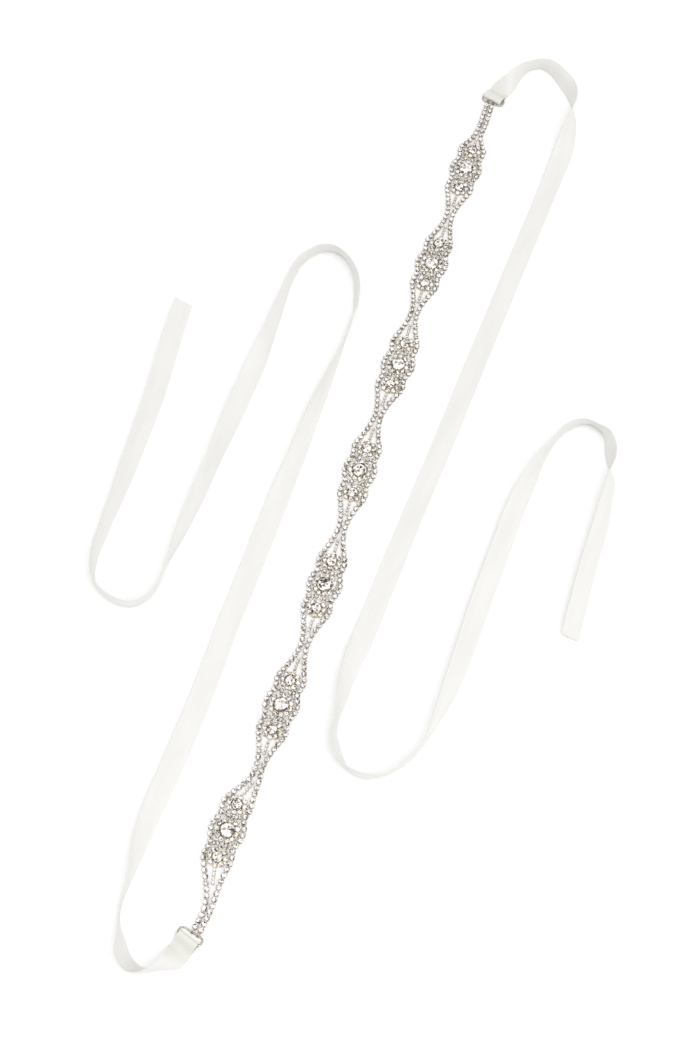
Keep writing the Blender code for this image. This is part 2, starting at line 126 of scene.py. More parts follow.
LOWER_ROUTE = rows_of(
    Station,
    (-7, -310, -20), (-10.5, -314.5, -60), (-16, -319, -90), (-22, -321.8, -112), (-28, -321, -128),
    (-34, -316, -126), (-37, -309.5, -110), (-39.5, -305, -98), (-42, -298.5, -85),
    (-43.5, -291, -82), (-44, -285, -87), (-44.5, -274, -99), (-46, -254, -132), (-46, -236, -147),
    (-45, -218, -155), (-44, -197, -165), (-43, -160, -172), (-43, -122, -172), (-42, -82, -170),
    (-41, -42, -166), (-40, -18, -148), (-39, 5, -137), (-39, 25, -130), (-37.5, 47, -114),
    (-36.5, 67, -97), (-36, 80, -87), (-36, 90, -83), (-36, 98, -81), (-36, 105, -77),
    (-37.5, 112, -74), (-39, 118, -72), (-41, 124, -74), (-43, 129, -78), (-45.5, 133, -84),
    (-48, 136.8, -90), (-51.5, 140.5, -96), (-55, 143.3, -101), (-59, 145.2, -103),
    (-63, 146, -103), (-68, 145, -102), (-72, 143, -100), (-76, 138.5, -97), (-79.5, 133, -92),
    (-81.5, 127.5, -86), (-82.5, 121, -83), (-83, 112, -82), (-83, 102, -75), (-83, 92, -68),
    (-83, 80, -61), (-83, 70, -54), (-83.5, 60, -38), (-84.5, 42, -20), (-85.5, 18, -28),
    (-86, -5, -45), (-86.5, -22, -55), (-87.5, -45, -55), (-88, -58, -62), (-88.5, -70, -69),
    (-89, -80, -78), (-89.5, -89, -90), (-90, -97, -98), (-90, -106, -102), (-91, -114, -101),
    (-93.5, -119.5, -101), (-97, -123.5, -100), (-101, -126, -98), (-106, -126.5, -97),
    (-111, -126, -96), (-116, -124.5, -95), (-121, -122, -93), (-125, -119, -94), (-128, -115, -97),
    (-130, -110, -98), (-131.5, -104, -101), (-132.5, -97, -105), (-132.5, -88, -108),
    (-133, -78, -112), (-133, -60, -120), (-134, -38, -136), (-135, -10, -142), (-136, 10, -152),
    (-138, 30, -160), (-140, 52, -155), (-142, 81, -148),
)

UPPER_CREASES = rows_of(
    Crease,
    (8.5, -2.0, 75.0, 5.0, 2.4, -0.5),
    (12.5, 1.5, 62.0, 6.0, 2.2, 0.45),
    (17.0, -1.0, 50.0, 7.0, 3.0, -0.4),
    (24.0, 2.0, 30.0, 9.0, 3.0, 0.35),
    (41.0, -1.5, 12.0, 16.0, 3.4, -0.25),
    (70.0, 2.2, -14.0, 12.0, 3.0, 0.3),
    (92.0, -2.0, 24.0, 12.0, 3.2, -0.35),
    (131.0, 1.8, 8.0, 34.0, 4.0, 0.2),
    (226.0, -2.0, -6.0, 46.0, 4.2, -0.18),
    (318.0, 1.2, 5.0, 40.0, 4.6, 0.2),
    (452.0, -1.4, 20.0, 18.0, 3.4, 0.3),
    (498.0, 1.9, -18.0, 14.0, 3.2, -0.3),
    (566.0, -1.6, 16.0, 18.0, 3.4, 0.3),
    (641.0, 1.5, -5.0, 44.0, 4.0, -0.2),
    (749.0, -1.8, 15.0, 20.0, 3.2, 0.28),
    (812.0, 1.6, -20.0, 13.0, 3.0, -0.3),
    (868.0, -1.2, 9.0, 24.0, 3.6, 0.22),
    (930.0, 1.4, -6.0, 30.0, 3.8, -0.18),
)

LOWER_CREASES = rows_of(
    Crease,
    (9.5, 1.8, -70.0, 5.0, 2.4, -0.45),
    (14.0, -1.6, -56.0, 6.5, 2.4, 0.4),
    (21.0, 1.2, -38.0, 8.0, 2.8, -0.4),
    (27.0, 6.3, 0.0, 13.0, 2.2, -1.2),
    (33.0, -1.6, -20.0, 12.0, 3.2, 0.3),
    (58.0, 1.8, 12.0, 14.0, 3.0, -0.28),
    (97.0, -1.6, 14.0, 22.0, 3.4, 0.28),
    (160.0, 1.4, -6.0, 40.0, 4.2, -0.2),
    (262.0, -1.7, 5.0, 48.0, 4.4, 0.18),
    (356.0, 1.6, -13.0, 24.0, 3.4, -0.28),
    (421.0, -1.8, 17.0, 16.0, 3.2, 0.3),
    (486.0, 1.5, -19.0, 15.0, 3.0, -0.3),
    (555.0, -1.4, 10.0, 28.0, 3.8, 0.22),
    (640.0, 1.7, -14.0, 20.0, 3.2, -0.28),
    (716.0, -1.5, 18.0, 14.0, 3.0, 0.3),
    (778.0, 1.6, -8.0, 26.0, 3.6, -0.2),
    (868.0, -1.3, 7.0, 34.0, 4.0, 0.2),
)


# Curves and directions


@dataclass(frozen=True)
class Curve:
    """A cubic curve through rows: where they are, its values there, and its slopes."""

    knots: Sequence[float]
    values: Sequence[float]
    slopes: Sequence[float]

    @classmethod
    def limited(cls, knots: Sequence[float], values: Sequence[float]) -> "Curve":
        """A curve that doesn't overshoot its rows.

        Args:
            knots: Where the rows are.
            values: What the curve is there.

        Returns:
            The curve.
        """
        rows = list(zip(knots, values))
        rises = [(b[1] - a[1]) / (b[0] - a[0]) for a, b in zip(rows, rows[1:])]
        slopes = [rises[0]]
        for before, after in zip(rises, rises[1:]):
            product = before * after
            slopes.append(0.0 if product <= 0 else 2 * product / (before + after))
        return cls(knots, values, slopes + [rises[-1]])

    @classmethod
    def free(cls, knots: Sequence[float], values: Sequence[float]) -> "Curve":
        """A curve with its slopes from the rows on either side of each one.

        Args:
            knots: Where the rows are.
            values: What the curve is there.

        Returns:
            The curve.
        """
        last = len(knots) - 1
        spans = [(max(i - 1, 0), min(i + 1, last)) for i in range(last + 1)]
        return cls(knots, values, [(values[b] - values[a]) / (knots[b] - knots[a]) for a, b in spans])

    def at(self, place: float) -> float:
        """The curve's value at one place.

        Args:
            place: The place, held between the first row and the last.

        Returns:
            The value.
        """
        last = len(self.knots) - 2
        span = max(i for i in range(last + 1) if i == 0 or self.knots[i] <= place)
        width = self.knots[span + 1] - self.knots[span]
        share = min(max((place - self.knots[span]) / width, 0.0), 1.0)
        blend = eased(share)
        value = self.values[span] * (1 - blend) + self.values[span + 1] * blend
        value += share * (1 - share) ** 2 * width * self.slopes[span]
        return value + share * share * (share - 1) * width * self.slopes[span + 1]


def eased(share: float) -> float:
    """A share that starts and ends gently."""
    return share * share * (3 - 2 * share)


def up(height: float) -> Vector:
    """A step straight up."""
    return Vector((0.0, 0.0, height))


def bearing(angle: float) -> Vector:
    """The level direction at an angle from +X."""
    return Vector((math.cos(angle), math.sin(angle), 0.0))


def left_of(travel: Vector) -> Vector:
    """The level direction to the left of another."""
    return Vector((-travel.y, travel.x, 0.0))


def standing(centre: Vector, height: float, turn: float = 0.0) -> Matrix:
    """The place over a point of the surface, turned about the upright."""
    return Matrix.Translation(centre + up(height)) @ Matrix.Rotation(turn, 4, "Z")


HALF_GAP = Curve.limited(*zip(*STRAND_HALF_GAP))
DRIFT = Curve.limited(*zip(*BAND_DRIFT))


# Finishes


class Board:
    """A node tree with short ways to add and join its nodes. A value is a socket or a constant."""

    def __init__(self, tree: NodeTree) -> None:
        """Take the tree to work on."""
        self.tree = tree

    def feed(self, socket: NodeSocket, value: object) -> None:
        """Link an input, or set its constant.

        Args:
            socket: The input.
            value: A socket, a number or a colour.
        """
        if isinstance(value, NodeSocket):
            self.tree.links.new(value, socket)
        else:
            socket.default_value = (*value, 1.0) if isinstance(value, tuple) else value

    def add(self, kind: str, inputs: dict, **settings: object) -> Node:
        """Add a node.

        Args:
            kind: Blender's name for it.
            inputs: The value of each input, by its name or number.
            settings: Values for its properties.

        Returns:
            The node.
        """
        node = self.tree.nodes.new(kind)
        for name, setting in settings.items():
            setattr(node, name, setting)
        for place, value in inputs.items():
            self.feed(node.inputs[place], value)
        return node

    def maths(self, operation: str, *values: object) -> NodeSocket:
        """The result of a Math node."""
        return self.add("ShaderNodeMath", dict(enumerate(values)), operation=operation).outputs[0]

    def mixed(self, share: object, first: object, second: object) -> NodeSocket:
        """Two colours mixed, with a share of the second."""
        return self.add("ShaderNodeMix", {0: share, 6: first, 7: second}, data_type="RGBA").outputs[2]

    def noise(self, vector: object, scale: float, detail: float) -> NodeSocket:
        """The value of a Noise Texture read at a vector."""
        inputs = {"Vector": vector, "Scale": scale, "Detail": detail}
        return self.add("ShaderNodeTexNoise", inputs).outputs[0]

    def ranged(self, value: object, *limits: float) -> NodeSocket:
        """A value held between two limits and moved to two others."""
        return self.add("ShaderNodeMapRange", dict(enumerate((value, *limits)))).outputs[0]

    def wave(self, place: object, length: object) -> NodeSocket:
        """A sine along a place, by its wavelength."""
        turns = self.maths("DIVIDE", place, length)
        return self.maths("SINE", self.maths("MULTIPLY", turns, math.tau))

    def cloud(
        self, across: object, along: object, scales: tuple[float, float], detail: float
    ) -> NodeSocket:
        """Noise that is drawn out along the cloth.

        Args:
            across: The place across the cloth.
            along: The place along it.
            scales: How fine the noise is each way.
            detail: How much detail it has.

        Returns:
            The noise.
        """
        parts = [self.maths("MULTIPLY", place, scale) for place, scale in zip((across, along), scales)]
        spread = self.add("ShaderNodeCombineXYZ", dict(enumerate(parts)))
        return self.noise(spread.outputs[0], 1.0, detail)

    def bump(self, height: object, strength: float, distance: float) -> NodeSocket:
        """The normal that a Bump node makes of a height."""
        inputs = {"Height": height, "Strength": strength, "Distance": distance}
        return self.add("ShaderNodeBump", inputs).outputs[0]


class GroupBoard(Board):
    """The board of a shared group, with what it takes in and what it puts out."""

    def __init__(self, name: str, takes: dict[str, float], gives: Sequence[str]) -> None:
        """Start the group.

        Args:
            name: Its name.
            takes: Each number that it takes beside its vector, and its usual value.
            gives: The numbers that it puts out.
        """
        super().__init__(bpy.data.node_groups.new(name, "ShaderNodeTree"))
        faces = self.tree.interface
        faces.new_socket("Vector", in_out="INPUT", socket_type="NodeSocketVector")
        for title, usual in takes.items():
            taken = faces.new_socket(title, in_out="INPUT", socket_type="NodeSocketFloat")
            taken.default_value = usual
        for title in gives:
            faces.new_socket(title, in_out="OUTPUT", socket_type="NodeSocketFloat")
        self.takes = self.add("NodeGroupInput", {}).outputs
        self.gives = self.add("NodeGroupOutput", {}).inputs


class MaterialBoard(Board):
    """The board of a new material, with its Principled shader."""

    def __init__(self, name: str) -> None:
        """Start the material.

        Args:
            name: Its name.
        """
        self.material = bpy.data.materials.new(name)
        self.material.use_nodes = True
        super().__init__(self.material.node_tree)

    def place(self) -> NodeSocket:
        """The place on the piece, in Object coordinates."""
        return self.add("ShaderNodeTexCoord", {}).outputs["Object"]

    def dressed(self, inputs: dict[str, object]) -> Material:
        """Feed the shader.

        Args:
            inputs: The value of each of the shader's inputs, by its name.

        Returns:
            The material.
        """
        for name, value in inputs.items():
            self.feed(self.tree.nodes["Principled BSDF"].inputs[name], value)
        return self.material


def weave_group() -> NodeTree:
    """Satin's weave in the ribbon's own UVs, which are metres: floats, wefts, slubs and selvedges, and a
    mask near the loop for the doubled ply's tone and painted shade of the fold's slopes.

    Returns:
        The group.
    """
    takes = {"Half Width": RIBBON_WIDTH / 2 * MM, "Thread": SatinFinish.thread, "Slub": SatinFinish.slub}
    board = GroupBoard("satin_weave", takes, ("Height", "Selvedge", "Cloudiness", "Doubled And Shade"))
    edge_cord, weft, doubled_and_shade_span = (0.86, 0.9), 0.00042, (0.022, 0.030)
    slubs, clouds = (3500.0, 90.0), (120.0, 22.0)
    parts = board.add("ShaderNodeSeparateXYZ", {0: board.takes["Vector"]})
    across, along = parts.outputs[0], parts.outputs[1]
    edge = board.maths("DIVIDE", board.maths("ABSOLUTE", across), board.takes["Half Width"])
    selvedge = board.ranged(edge, *edge_cord, 0.0, 1.0)
    layers = (
        (board.wave(across, board.takes["Thread"]), 0.35),
        (board.wave(along, board.takes["Thread"]), 0.25),
        (board.cloud(across, along, slubs, 2.0), board.takes["Slub"]),
        (board.maths("MULTIPLY", board.wave(along, weft), selvedge), 0.8),
    )
    height: object = 0.0
    for layer, strength in layers:
        height = board.maths("ADD", height, board.maths("MULTIPLY", layer, strength))
    board.feed(board.gives["Height"], height)
    board.feed(board.gives["Selvedge"], selvedge)
    # This mask runs from the loop to past the turned-back end, where the colour takes the doubled ply's
    # tone and painted shade of the fold's slopes.
    board.feed(board.gives["Doubled And Shade"], board.ranged(along, *doubled_and_shade_span, 1.0, 0.0))
    board.feed(board.gives["Cloudiness"], board.cloud(across, along, clouds, 3.0))
    return board.tree


def plate_group() -> NodeTree:
    """Plated metal's fine unevenness, shared by every silver finish.

    Returns:
        The group.
    """
    board = GroupBoard("plated_metal", {"Scale": SilverFinish.scale}, ("Tarnish", "Height"))
    for title, factor in (("Tarnish", 1.0), ("Height", 5.0)):
        size = board.maths("MULTIPLY", board.takes["Scale"], factor)
        inputs = {"Vector": board.takes["Vector"], "Scale": size}
        scaled = board.add("ShaderNodeVectorMath", inputs, operation="SCALE")
        board.feed(board.gives[title], board.noise(scaled.outputs[0], 1.0, 4.0))
    return board.tree


@dataclass(frozen=True)
class SatinFinish:
    """Double-faced satin ribbon."""

    weave: NodeTree
    light: Colour = (0.742, 0.735, 0.712)
    dark: Colour = (0.712, 0.704, 0.678)
    selvedge: Colour = (0.73, 0.722, 0.697)
    # The doubled ply's tone near the loop, darkened by painted shade of the fold's slopes.
    doubled_and_shade: Colour = (0.685, 0.682, 0.63)
    thread: float = 0.00022
    slub: float = 0.5

    def make(self) -> Material:
        """Make the material, with the shared weave.

        Returns:
            The material.
        """
        board = MaterialBoard("ivory_satin")
        run = board.add("ShaderNodeUVMap", {}, uv_map="run").outputs[0]
        sizes = {"Half Width": RIBBON_WIDTH / 2 * MM, "Thread": self.thread, "Slub": self.slub}
        cloth = board.add("ShaderNodeGroup", {"Vector": run, **sizes}, node_tree=self.weave)
        cloudiness = cloth.outputs["Cloudiness"]
        colour = board.mixed(board.ranged(cloudiness, 0.35, 0.65, 0.0, 1.0), self.light, self.dark)
        colour = board.mixed(cloth.outputs["Selvedge"], colour, self.selvedge)
        return board.dressed(
            {
                # Near the loop the colour darkens to the doubled ply's tone with painted shade of the
                # fold's slopes.
                "Base Color": board.mixed(cloth.outputs["Doubled And Shade"], colour, self.doubled_and_shade),
                "Roughness": board.ranged(cloudiness, 0.3, 0.7, 0.36, 0.46),
                "Normal": board.bump(cloth.outputs["Height"], 0.25, 0.00004),
                "Specular IOR Level": 0.35,
                "Sheen Weight": 0.12,
                "Sheen Roughness": 0.35,
            }
        )


@dataclass(frozen=True)
class SilverFinish:
    """Silver plate, brighter on the loops and duller in the settings, with a painted dark reflection
    where its surface turns away from the view.
    """

    plate: NodeTree
    name: str
    light: Colour
    dark: Colour
    rim: Colour
    smooth: float
    rough: float
    scale: float = 900.0

    def make(self) -> Material:
        """Make the material, with the shared plate.

        Returns:
            The material.
        """
        board = MaterialBoard(self.name)
        inputs = {"Vector": board.place(), "Scale": self.scale}
        metal = board.add("ShaderNodeGroup", inputs, node_tree=self.plate)
        tarnish = metal.outputs["Tarnish"]
        colour = board.mixed(board.ranged(tarnish, 0.38, 0.62, 0.0, 1.0), self.light, self.dark)
        # The rim colour is a painted dark reflection on surfaces seen at a grazing angle.
        facing = board.add("ShaderNodeLayerWeight", {"Blend": 0.35}).outputs["Facing"]
        return board.dressed(
            {
                "Base Color": board.mixed(board.ranged(facing, 0.25, 0.75, 0.0, 1.0), colour, self.rim),
                "Roughness": board.ranged(tarnish, 0.3, 0.7, self.smooth, self.rough),
                "Normal": board.bump(metal.outputs["Height"], 0.15, 0.00003),
                "Metallic": 1.0,
            }
        )


@dataclass(frozen=True)
class CrystalFinish:
    """Foil-backed cut glass: each facet shows a painted tone that stands in for its reflection, from
    bright white glints to dark facets.
    """

    dull: float = 0.16
    clear: float = 0.05

    def make(self) -> Material:
        """Make the material, which reads each facet's painted reflection tone.

        Returns:
            The material.
        """
        board = MaterialBoard("cut_crystal")
        tone = board.add("ShaderNodeVertexColor", {}, layer_name="facet").outputs["Color"]
        parts = board.add("ShaderNodeSeparateColor", {0: tone})
        return board.dressed(
            {
                "Base Color": tone,
                "Roughness": board.ranged(parts.outputs[0], 0.0, 1.0, self.dull, self.clear),
                "Metallic": 0.25,
                "IOR": 1.56,
                "Coat Weight": 0.6,
                "Coat Roughness": 0.02,
            }
        )


@dataclass(frozen=True)
class ThreadFinish:
    """Twisted sewing thread."""

    shade: Colour = (0.70, 0.695, 0.64)
    light: Colour = (0.74, 0.735, 0.69)
    twist: float = 1800.0

    def make(self) -> Material:
        """Make the material, with a fine twist on the thread.

        Returns:
            The material.
        """
        board = MaterialBoard("ivory_thread")
        inputs = {"Vector": board.place(), "Scale": self.twist}
        settings = {"wave_type": "BANDS", "bands_direction": "DIAGONAL"}
        twist = board.add("ShaderNodeTexWave", inputs, **settings).outputs["Fac"]
        return board.dressed(
            {
                "Base Color": board.mixed(twist, self.shade, self.light),
                "Roughness": 0.6,
                "Normal": board.bump(twist, 1.0, 0.00003),
            }
        )


@dataclass(frozen=True)
class FloorFinish:
    """A pale matt studio floor."""

    shade: Colour = (0.93, 0.93, 0.93)
    light: Colour = (0.97, 0.97, 0.97)

    def make(self) -> Material:
        """Make the material, with a faint grain.

        Returns:
            The material.
        """
        board = MaterialBoard("pale_floor")
        colour = board.mixed(board.noise(board.place(), 300.0, 3.0), self.shade, self.light)
        return board.dressed({"Base Color": colour, "Roughness": 0.9, "Specular IOR Level": 0.1})


@dataclass(frozen=True)
class Finishes:
    """Every material of the sash."""

    satin: Material
    thread: Material
    crystal: Material
    bright_silver: Material
    setting_silver: Material

    @classmethod
    def made(cls) -> "Finishes":
        """Make the shared groups and each material once.

        Returns:
            The materials.
        """
        plate = plate_group()
        # Each silver: light and dark tarnish, the painted dark reflection at grazing angles, then smooth
        # and rough roughness.
        bright = ((0.66, 0.61, 0.55), (0.40, 0.35, 0.29), (0.10, 0.075, 0.05), 0.1, 0.2)
        duller = ((0.86, 0.81, 0.74), (0.54, 0.47, 0.38), (0.36, 0.30, 0.235), 0.14, 0.28)
        return cls(
            satin=SatinFinish(weave_group()).make(),
            thread=ThreadFinish().make(),
            crystal=CrystalFinish().make(),
            bright_silver=SilverFinish(plate, "bright_silver", *bright).make(),
            setting_silver=SilverFinish(plate, "setting_silver", *duller).make(),
        )


# Making pieces


@dataclass
class SubAssembly:
    """A part of the sash that is built and dressed on its own."""

    finishes: Finishes

    def finished(
        self,
        shape: BMesh,
        name: str,
        material: Material,
        slot: str,
        smooth: Optional[float] = None,
    ) -> Object:
        """Turn a bmesh in the band's own frame into a piece of the model.

        Args:
            shape: The bmesh, which is freed.
            name: The piece's name.
            material: Its finish.
            slot: Not used.
            smooth: The angle in degrees under which edges are smooth, or None for flat facets.

        Returns:
            The piece, riding on the sash.
        """
        place = Matrix.Scale(MM, 4) @ Matrix.Translation(LAID)
        bmesh.ops.transform(shape, matrix=place, verts=shape.verts)
        data = bpy.data.meshes.new(name)
        shape.to_mesh(data)
        shape.free()
        data.materials.append(material)
        if smooth is not None:
            data.shade_smooth()
            data.set_sharp_from_angle(angle=math.radians(smooth))
        piece = bpy.data.objects.new(name, data)
        bpy.context.scene.collection.objects.link(piece)
        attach(piece, "root")
        LOG.info("%s: %d faces", name, len(data.polygons))
        return piece


def tube(
    shape: BMesh, points: Sequence[Vector], radius: float, sides: int, closed: bool = False
) -> None:
    """Bridge rings of a round wire along points.

    Args:
        shape: The shape that grows.
        points: The wire's centre line.
        radius: The wire's radius.
        sides: How many sides it has.
        closed: Whether its ends meet.
    """
    rims: list[list[BMEdge]] = []
    side, last = None, len(points) - 1
    for i, point in enumerate(points):
        before = points[i - 1] if closed or i > 0 else point
        after = points[(i + 1) % len(points)] if closed or i < last else point
        travel = (after - before).normalized()
        side = travel.orthogonal() if side is None else side
        side = (side - travel * side.dot(travel)).normalized()
        turn = Matrix((side, travel.cross(side), travel)).transposed().to_4x4()
        ring = bmesh.ops.create_circle(
            shape,
            segments=sides,
            radius=radius,
            cap_ends=not closed and i in (0, last),
            matrix=Matrix.Translation(point) @ turn,
        )["verts"]
        rims.append(list(dict.fromkeys(edge for vert in ring for edge in vert.link_edges)))
    for i in range(len(rims) if closed else last):
        bmesh.ops.bridge_loops(shape, edges=rims[i] + rims[(i + 1) % len(rims)])
    bmesh.ops.recalc_face_normals(shape, faces=shape.faces)


def sharpen_border(data: Mesh) -> None:
    """Keep the shading of a sheet's face from rolling over onto its thin rim.

    Args:
        data: The sheet's mesh.
    """
    shape = bmesh.new()
    shape.from_mesh(data)
    for edge in shape.edges:
        edge.smooth = edge.smooth and not edge.is_boundary
    shape.to_mesh(data)
    shape.free()


# Satin tails


@dataclass
class WireLoop(SubAssembly):
    """A rounded wire rectangle that joins a tail to the band."""

    name: str
    x: float
    y: float
    heading: float
    askew: float
    slack: float
    wire: float = 1.2
    wire_share: float = 0.82
    wire_sides: int = 14
    corner: float = 2.3
    bar_gap: float = 5.4
    length: float = 14.5
    fold_radius: float = 1.5
    bar_clearance: float = 0.5
    corner_points: int = 9
    bead: float = 0.672
    bead_stretch: float = 1.5
    seam_share: float = 0.27

    @property
    def bar_height(self) -> float:
        """How high the ribbon's bar lies."""
        return self.bar_clearance + self.fold_radius

    def directions(self, turn: float = 0.0) -> tuple[Vector, Vector]:
        """The way the loop faces, turned by an angle, and the way to its left."""
        travel = bearing(math.radians(self.heading + turn))
        return travel, left_of(travel)

    def frame_axes(self) -> tuple[Vector, Vector, Vector]:
        """The rectangle's own frame.

        Returns:
            The bar's middle, the way along it, and the way down to the near wire.
        """
        travel, side = self.directions()
        drop = self.bar_height - self.wire / 2
        back = math.sqrt(self.bar_gap**2 - drop**2)
        depth = (travel * -back + up(-drop)) / self.bar_gap
        return Vector((self.x, self.y, self.bar_height)), side, depth

    def rim(self) -> list[Vector]:
        """The wire's centre line, round the rectangle.

        Returns:
            Its points, a quarter at a time.
        """
        bar, side, depth = self.frame_axes()
        spans = (self.length / 2 - self.corner, self.bar_gap / 2 - self.corner)
        middle = bar + depth * (self.bar_gap / 2)
        points = []
        for quarter, (sign_side, sign_depth) in enumerate(((1, 1), (-1, 1), (-1, -1), (1, -1))):
            centre = middle + side * spans[0] * sign_side + depth * spans[1] * sign_depth
            for i in range(self.corner_points):
                turn = math.radians(90 * quarter + 90 * i / (self.corner_points - 1))
                points.append(centre + (side * math.cos(turn) + depth * math.sin(turn)) * self.corner)
        return points

    def near_wire(self, across: float) -> Vector:
        """A point of the band-side wire's centre line, this far to the loop's left."""
        bar, side, depth = self.frame_axes()
        return bar + depth * self.bar_gap + side * across

    def build(self) -> None:
        """Build the loop: the wire, and the solder where its ends meet."""
        shape = bmesh.new()
        tube(shape, self.rim(), self.wire / 2 * self.wire_share, self.wire_sides, closed=True)
        bead = bmesh.ops.create_icosphere(shape, subdivisions=2, radius=self.bead)
        turn = self.directions()[1].to_track_quat("X", "Z").to_matrix().to_4x4()
        seam = Matrix.Translation(self.near_wire(self.length * self.seam_share)) @ turn
        stretch = Matrix.Diagonal((self.bead_stretch, 1.0, 1.0, 1.0))
        bmesh.ops.transform(shape, matrix=seam @ stretch, verts=bead["verts"])
        piece = self.finished(shape, f"{self.name}_wire", self.finishes.bright_silver, "wire", 40.0)
        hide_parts(self.name)


class RibbonRow(NamedTuple):
    """A line across the ribbon: its middle, the way to its left edge, and its upper side."""

    centre: Vector
    across: Vector
    normal: Vector
    rests: bool


@dataclass
class RibbonTail(SubAssembly):
    """A satin tail: turned under and round its loop's bar, then laid along its route."""

    node: str
    loop: WireLoop
    route: Sequence[Station]
    creases: Sequence[Crease]
    width: float = RIBBON_WIDTH
    wall: float = 0.3
    ply_gap: float = 0.15
    bow: float = 1.0
    turn_back: float = 5.5
    landing: float = 0.7
    step: float = 1.8
    cells: int = 12
    under_rows: int = 4
    bend_rows: int = 12
    over_rows: int = 8
    over_share: float = 0.9
    over_dip: float = 20.0
    crease_reach: tuple[float, float] = (1.6, 2.4)
    crease_fade: float = 2.5

    def fold_rows(self) -> list[RibbonRow]:
        """The end turned under, round the bar and back over itself.

        Returns:
            The fold's rows.
        """
        travel, left = self.loop.directions(self.loop.askew)
        bar = Vector((self.loop.x, self.loop.y, 0.0))
        radius, low = self.loop.fold_radius, self.wall / 2
        top, over = self.loop.bar_height + radius, self.wall * 1.5 + self.ply_gap
        path = [(self.turn_back * (1 - i / self.under_rows), low, 180.0) for i in range(self.under_rows)]
        for i in range(self.bend_rows + 1):
            share = i / self.bend_rows
            out = -self.loop.slack - radius * math.sin(math.pi * share)
            height = (top + low) / 2 - (top - low) / 2 * math.cos(math.pi * share)
            path.append((out, height, 180.0 * (1 - share)))
        for i in range(1, self.over_rows + 1):
            share = i / self.over_rows
            dip = -self.over_dip * math.sin(math.pi * share)
            out = self.turn_back * self.over_share * share
            path.append((out, top + (over - top) * eased(share), dip))
        path.append((self.turn_back + self.landing, over, 0.0))
        rows = []
        for along, height, tilt in path:
            pitch = math.radians(tilt)
            direction = travel * math.cos(pitch) + up(math.sin(pitch))
            centre = bar + travel * along + up(height)
            rows.append(RibbonRow(centre, left, direction.cross(left), False))
        return rows

    def route_rows(self) -> list[RibbonRow]:
        """The cloth along the route, with its lean.

        Returns:
            The route's rows.
        """
        knots = [0.0]
        for here, there in zip(self.route, self.route[1:]):
            knots.append(knots[-1] + math.dist(here[:2], there[:2]))
        xs, ys, leans = zip(*self.route)
        curves = (Curve.free(knots, xs), Curve.free(knots, ys), Curve.limited(knots, leans))
        count = round(knots[-1] / self.step)
        places = [knots[-1] * k / count for k in range(count + 1)]
        samples = [Station(*(curve.at(place) for curve in curves)) for place in places]
        rows = []
        for k, here in enumerate(samples):
            before, after = samples[max(k - 1, 0)], samples[min(k + 1, count)]
            travel = Vector((after.x - before.x, after.y - before.y, 0.0)).normalized()
            lean = math.radians(here.lean)
            across = left_of(travel) * math.cos(lean) + up(math.sin(lean))
            rows.append(RibbonRow(Vector((here.x, here.y, 0.0)), across, travel.cross(across), True))
        return rows

    def rows(self) -> list[RibbonRow]:
        """The whole tail, with the stretch between the fold and the route eased in.

        Returns:
            Every row, from the turned-under end to the cut end.
        """
        fold, route = self.fold_rows(), self.route_rows()
        first, last = fold[-1], route[0]
        landed = last.centre + up(self.wall / 2 + self.width / 2 * abs(last.across.z))
        count = max(1, round((landed - first.centre).length / self.step))
        between = []
        for i in range(1, count):
            ease = eased(i / count)
            across = first.across.lerp(last.across, ease).normalized()
            centre = first.centre.lerp(landed, i / count)
            centre.z = first.centre.z * (1 - ease) + landed.z * ease
            normal = first.normal.lerp(last.normal, ease)
            normal = (normal - across * normal.dot(across)).normalized()
            between.append(RibbonRow(centre, across, normal, False))
        return fold + between + route

    def build(self) -> None:
        """Build the tail as one thin sheet, with its creases."""
        rows = self.rows()
        runs = [0.0]
        for here, there in zip(rows, rows[1:]):
            runs.append(runs[-1] + (there.centre - here.centre).length)
        shape = bmesh.new()
        made = bmesh.ops.create_grid(shape, x_segments=self.cells, y_segments=len(rows) - 1, size=1.0)
        uv = shape.loops.layers.uv.new("run")
        marks = {}
        lines: list[list[BMVert]] = [[] for _ in rows]
        for vert in made["verts"]:
            column = round((vert.co.x + 1) / 2 * self.cells)
            row = round((vert.co.y + 1) / 2 * (len(rows) - 1))
            marks[vert] = ((0.5 - column / self.cells) * self.width, runs[row])
            vert.co = self.spot(rows[row], *marks[vert])
            lines[row].append(vert)
        for line, row in zip(lines, rows):
            self.settle(line, row)
        for face in shape.faces:
            for corner in face.loops:
                across, along = marks[corner.vert]
                corner[uv].uv = (across * MM, along * MM)
        bmesh.ops.recalc_face_normals(shape, faces=shape.faces)
        piece = self.finished(shape, f"{self.node}_satin", self.finishes.satin, "ribbon", 60.0)
        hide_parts(self.node)
        sharpen_border(piece.data)
        thicken = piece.modifiers.new("cloth", "SOLIDIFY")
        thicken.thickness, thicken.offset = self.wall * MM, 0.0

    def spot(self, row: RibbonRow, across: float, along: float) -> Vector:
        """Where a point of the cloth lies, before it settles on the surface.

        Args:
            row: Its row.
            across: How far it is to the left of the row's middle.
            along: How far the row is along the cut.

        Returns:
            The point.
        """
        bow = self.bow * abs(row.across.z) if row.rests else 0.0
        lift = bow * (1 - (across / (self.width / 2)) ** 2)
        lift += sum(self.crease_height(crease, across, along) for crease in self.creases)
        return row.centre + row.across * across + row.normal * lift

